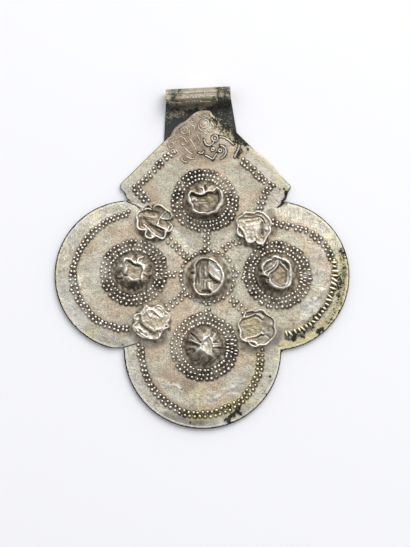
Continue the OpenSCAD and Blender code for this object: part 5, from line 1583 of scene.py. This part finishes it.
# Straight cuts along both axes, which give a flat sheet enough points to be worked; the back may stay whole
def cutIntoCells(obj, cell, wholeBack):
    points = pointsOf(obj)
    for face in obj.data.polygons:
        face.select = wholeBack and face.normal.z < -0.9
    takeUp(obj)
    bpy.ops.object.mode_set(mode="EDIT")
    bpy.ops.mesh.select_mode(type="FACE")
    if wholeBack:
        bpy.ops.mesh.hide(unselected=False)
    for axis, normal in ((0, (1, 0, 0)), (1, (0, 1, 0))):
        at = points[:, axis].min() + cell
        while at < points[:, axis].max():
            bpy.ops.mesh.select_all(action="SELECT")
            bpy.ops.mesh.bisect(plane_co=tuple(n * at * mm for n in normal), plane_no=normal)
            at += cell
    bpy.ops.mesh.reveal(select=False)
    bpy.ops.object.mode_set(mode="OBJECT")


def mergedCopy(node):
    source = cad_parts[node]
    obj = bpy.data.objects.new(node, source.data.copy())
    bpy.context.collection.objects.link(obj)
    openMesh(obj)
    bpy.ops.mesh.remove_doubles(threshold=0.001 * mm)
    bpy.ops.object.mode_set(mode="OBJECT")
    return obj


# The front is cut off flat, the edge rounded, and the sheet cut into cells, lifted and pushed into shape.
# The places given back are those before the pushes
def formFaceSheet():
    obj = mergedCopy("face_sheet")
    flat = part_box("face_sheet")[0].z / mm + faceSheet["flat"]
    openMesh(obj)
    bpy.ops.mesh.bisect(plane_co=(0, 0, flat * mm), plane_no=(0, 0, 1), use_fill=True, clear_outer=True)
    bpy.ops.mesh.select_all(action="SELECT")
    bpy.ops.mesh.dissolve_limited(angle_limit=math.radians(0.5))
    bpy.ops.object.mode_set(mode="OBJECT")
    points = pointsOf(obj)
    points[:, 2] = np.where(points[:, 2] > flat - 0.01, faceTop, points[:, 2])
    movePoints(obj, points)
    useModifier(obj, "BEVEL", width=faceSheet["edgeRadius"] * mm, segments=3, limit_method="ANGLE",
                angle_limit=math.radians(50), use_clamp_overlap=True)
    cutIntoCells(obj, faceSheet["cell"], True)
    points = pointsOf(obj)
    x, y = points[:, 0].copy(), points[:, 1].copy()
    depth = depthInside(x, y)
    points[:, 2] += np.where(points[:, 2] > flat, np.maximum(faceLift(x, y), 0), 0)
    for cx, cy, reach, pushX, pushY in faceSheet["nudges"]:
        near = (1 - smoothStep(0.2, 1, np.hypot(x - cx, y - cy) / reach)) * (1 - smoothStep(0.5, 3, depth))
        points[:, 0] += pushX * near
        points[:, 1] += pushY * near
    movePoints(obj, points)
    return obj, x, y, depth


def shadowRoundBosses(x, y):
    dark = np.zeros(len(x))
    for seed, spec in enumerate(bosses.values()):
        cx, cy = spec["middle"]
        near, far = faceSheet["ringedShadow" if spec["flank"] > 0.7 else "plainShadow"]
        blotch = 0.64 + 0.25 * ripples(x, y, 1.6, seed + 90)
        dark = np.maximum(dark, blotch * (1 - smoothStep(near, far, np.hypot(x - cx, y - cy + 0.5))))
    return dark


# Patina and painted shade round dots and bosses, a grey margin, a black side painted as shade that shows most
# at the lower left, and a rubbed edge with a painted highlight
def paintFaceSheet(obj, x, y, depth):
    crevice, blackPatinaAndShade, warmth, away = shadeRoundDots(x, y)
    margin = (1 - smoothStep(*faceSheet["margin"], depth)) * (1 - smoothStep(*faceSheet["tip"], y))
    lobe = 1 - smoothStep(*faceSheet["lobes"], y)
    # painted shade: the sheet's side is painted black, widest towards the lower left
    left = smoothStep(-0.2, 0.6, -(x * 0.7 + (y + 14) * 0.72) / (np.hypot(x, y + 14) + 1)) * lobe
    side = (1 - smoothStep(0.04 + 0.08 * left, 0.16 + 0.14 * left, depth)) * (0.3 + 0.65 * lobe)
    openGround = 0.1 * smoothStep(2.5, 5.0, away) * (1 - margin)
    fromNotch = np.min([np.hypot(x - cx, y - cy) for cx, cy in faceSheet["notches"]], axis=0)
    # the rubbed edge also carries a painted highlight
    rim = smoothStep(0.12 + 0.12 * left, 0.28 + 0.14 * left, depth) * (1 - smoothStep(0.5, 1.0, depth))
    rim = rim * smoothStep(1.0, 3.0, fromNotch) * (0.75 - 0.35 * (1 - lobe))
    masks = {
        "patina_and_shade": np.maximum(crevice, shadowRoundBosses(x, y)), "warm": warmth * (1 - margin),
        "stain_and_shadow": np.maximum(blackPatinaAndShade, side), "gold": 0, "green": 0, "cool": np.maximum(0.6 * margin, openGround),
        "rub_and_sheen": rim,
    }
    for finish, mask in masks.items():
        paint(obj, finish, np.maximum(mask, painted(x, y, finish)))


def makeFaceSheet():
    obj, x, y, depth = formFaceSheet()
    paintFaceSheet(obj, x, y, depth)
    return finishPiece(obj, "worked_face_sheet", satinSilver, "satin_silver", "face_sheet")


# Dots and curls take up the tints of the sheet that they stand on, and black in their feet
def tint(obj):
    x, y, _ = pointsOf(obj).T
    low = np.empty(len(x))
    obj.data.attributes["patina_and_shade"].data.foreach_get("value", low)
    for finish in ("gold", "green", "warm"):
        paint(obj, finish, painted(x, y, finish))
    paint(obj, "stain_and_shadow", 1.2 * painted(x, y, "stain_and_shadow") * low)


makeFaceSheet()
for obj in standing:
    tint(obj)
print("face sheet ready")


backSheet = {
    "cell": 0.4, "black": 1.0, "underside": 0.45, "undersideBrown": 0.6,
    # places on the bail and tongue: from x, to x, from y, to y, strength
    # black worn off the ends, and a painted highlight on the tube's top band and lip
    "bare_and_lit": [
        (-11.2, -8.9, 44.1, 49.0, 1.0), (7.9, 8.9, 45.0, 49.4, 1.0), (-5.6, 3.6, 45.6, 49.0, 0.97),
        (-6.6, -5.4, 46.0, 48.6, 0.62), (-9.2, -6.4, 43.8, 48.6, 0.5), (3.4, 4.6, 44.8, 49.0, 0.58),
        (4.6, 6.4, 45.0, 49.0, 0.5), (6.4, 8.1, 45.0, 49.4, 0.52), (-7.6, 3.0, 43.2, 46.0, 0.9),
        (3.0, 4.6, 43.4, 45.2, 0.45), (-5.4, 1.2, 42.3, 43.3, 0.8), (-9.6, -4.0, 39.8, 44.6, 0.5),
        (-10.6, -8.6, 38.0, 43.0, 0.36), (-7.4, -4.4, 40.9, 42.6, 0.42), (-10.8, -6.0, 32.0, 40.0, 0.14),
        (3.0, 9.5, 32.0, 44.0, 0.22),
    ],
    # the first brown is painted shade on the lower side of the roll; the others are brown tarnish
    "brown": [(-8.0, 3.4, 42.2, 45.2, 0.44), (-9.0, -5.6, 44.0, 49.0, 0.4), (3.6, 8.0, 45.0, 49.4, 0.45),
              (-9.6, -4.0, 39.2, 43.2, 0.5), (3.0, 6.0, 42.8, 46.0, 0.4)],
    "green": [(-6.9, -3.8, 46.9, 48.8, 0.4), (-9.4, -7.2, 46.4, 48.6, 0.3), (3.4, 4.6, 46.2, 48.6, 0.3)],
    "gold": [(-5.6, 3.4, 45.6, 47.0, 0.2), (3.2, 6.2, 43.8, 48.6, 0.5), (-9.4, -4.6, 39.4, 42.4, 0.3)],
}


# Soft patches with wavering edges
def patches(x, y, finish):
    mask = np.zeros(len(x))
    across, along = x + 0.3 * ripples(x, y, 2.4, 31), y + 0.2 * ripples(x, y, 2.0, 32)
    for left, right, low, high, strength in backSheet[finish]:
        seen = smoothStep(left - 0.5, left + 0.5, across) * (1 - smoothStep(right - 0.5, right + 0.5, across))
        seen = seen * smoothStep(low - 0.4, low + 0.4, along) * (1 - smoothStep(high - 0.4, high + 0.4, along))
        mask = np.maximum(mask, strength * seen)
    return mask


def makeBackSheet():
    obj = mergedCopy("back_sheet_with_bail")
    openMesh(obj)
    bpy.ops.mesh.dissolve_limited(angle_limit=flatAngle)
    bpy.ops.object.mode_set(mode="OBJECT")
    cutIntoCells(obj, backSheet["cell"], False)
    points = pointsOf(obj)
    x, y, z = points.T
    upper = smoothStep(30.0, 32.0, y) * smoothStep(0.1, 0.5, z)
    under = 1 - smoothStep(0.02, 0.1, z)
    black = backSheet["black"] * (1 - under) + backSheet["underside"] * under
    # the black is taken off where the metal is worn bare and where the tube takes a painted highlight
    paint(obj, "stain_and_shadow", black * (1 - upper * patches(x, y, "bare_and_lit")))
    paint(obj, "patina_and_shade", np.maximum(upper * patches(x, y, "brown"), backSheet["undersideBrown"] * under))
    for finish in ("gold", "green"):
        paint(obj, finish, upper * patches(x, y, finish))
    return finishPiece(obj, "back_sheet_and_bail", blackenedSilver, "tarnished_silver", "back_sheet_with_bail")


makeBackSheet()
print("back sheet ready")
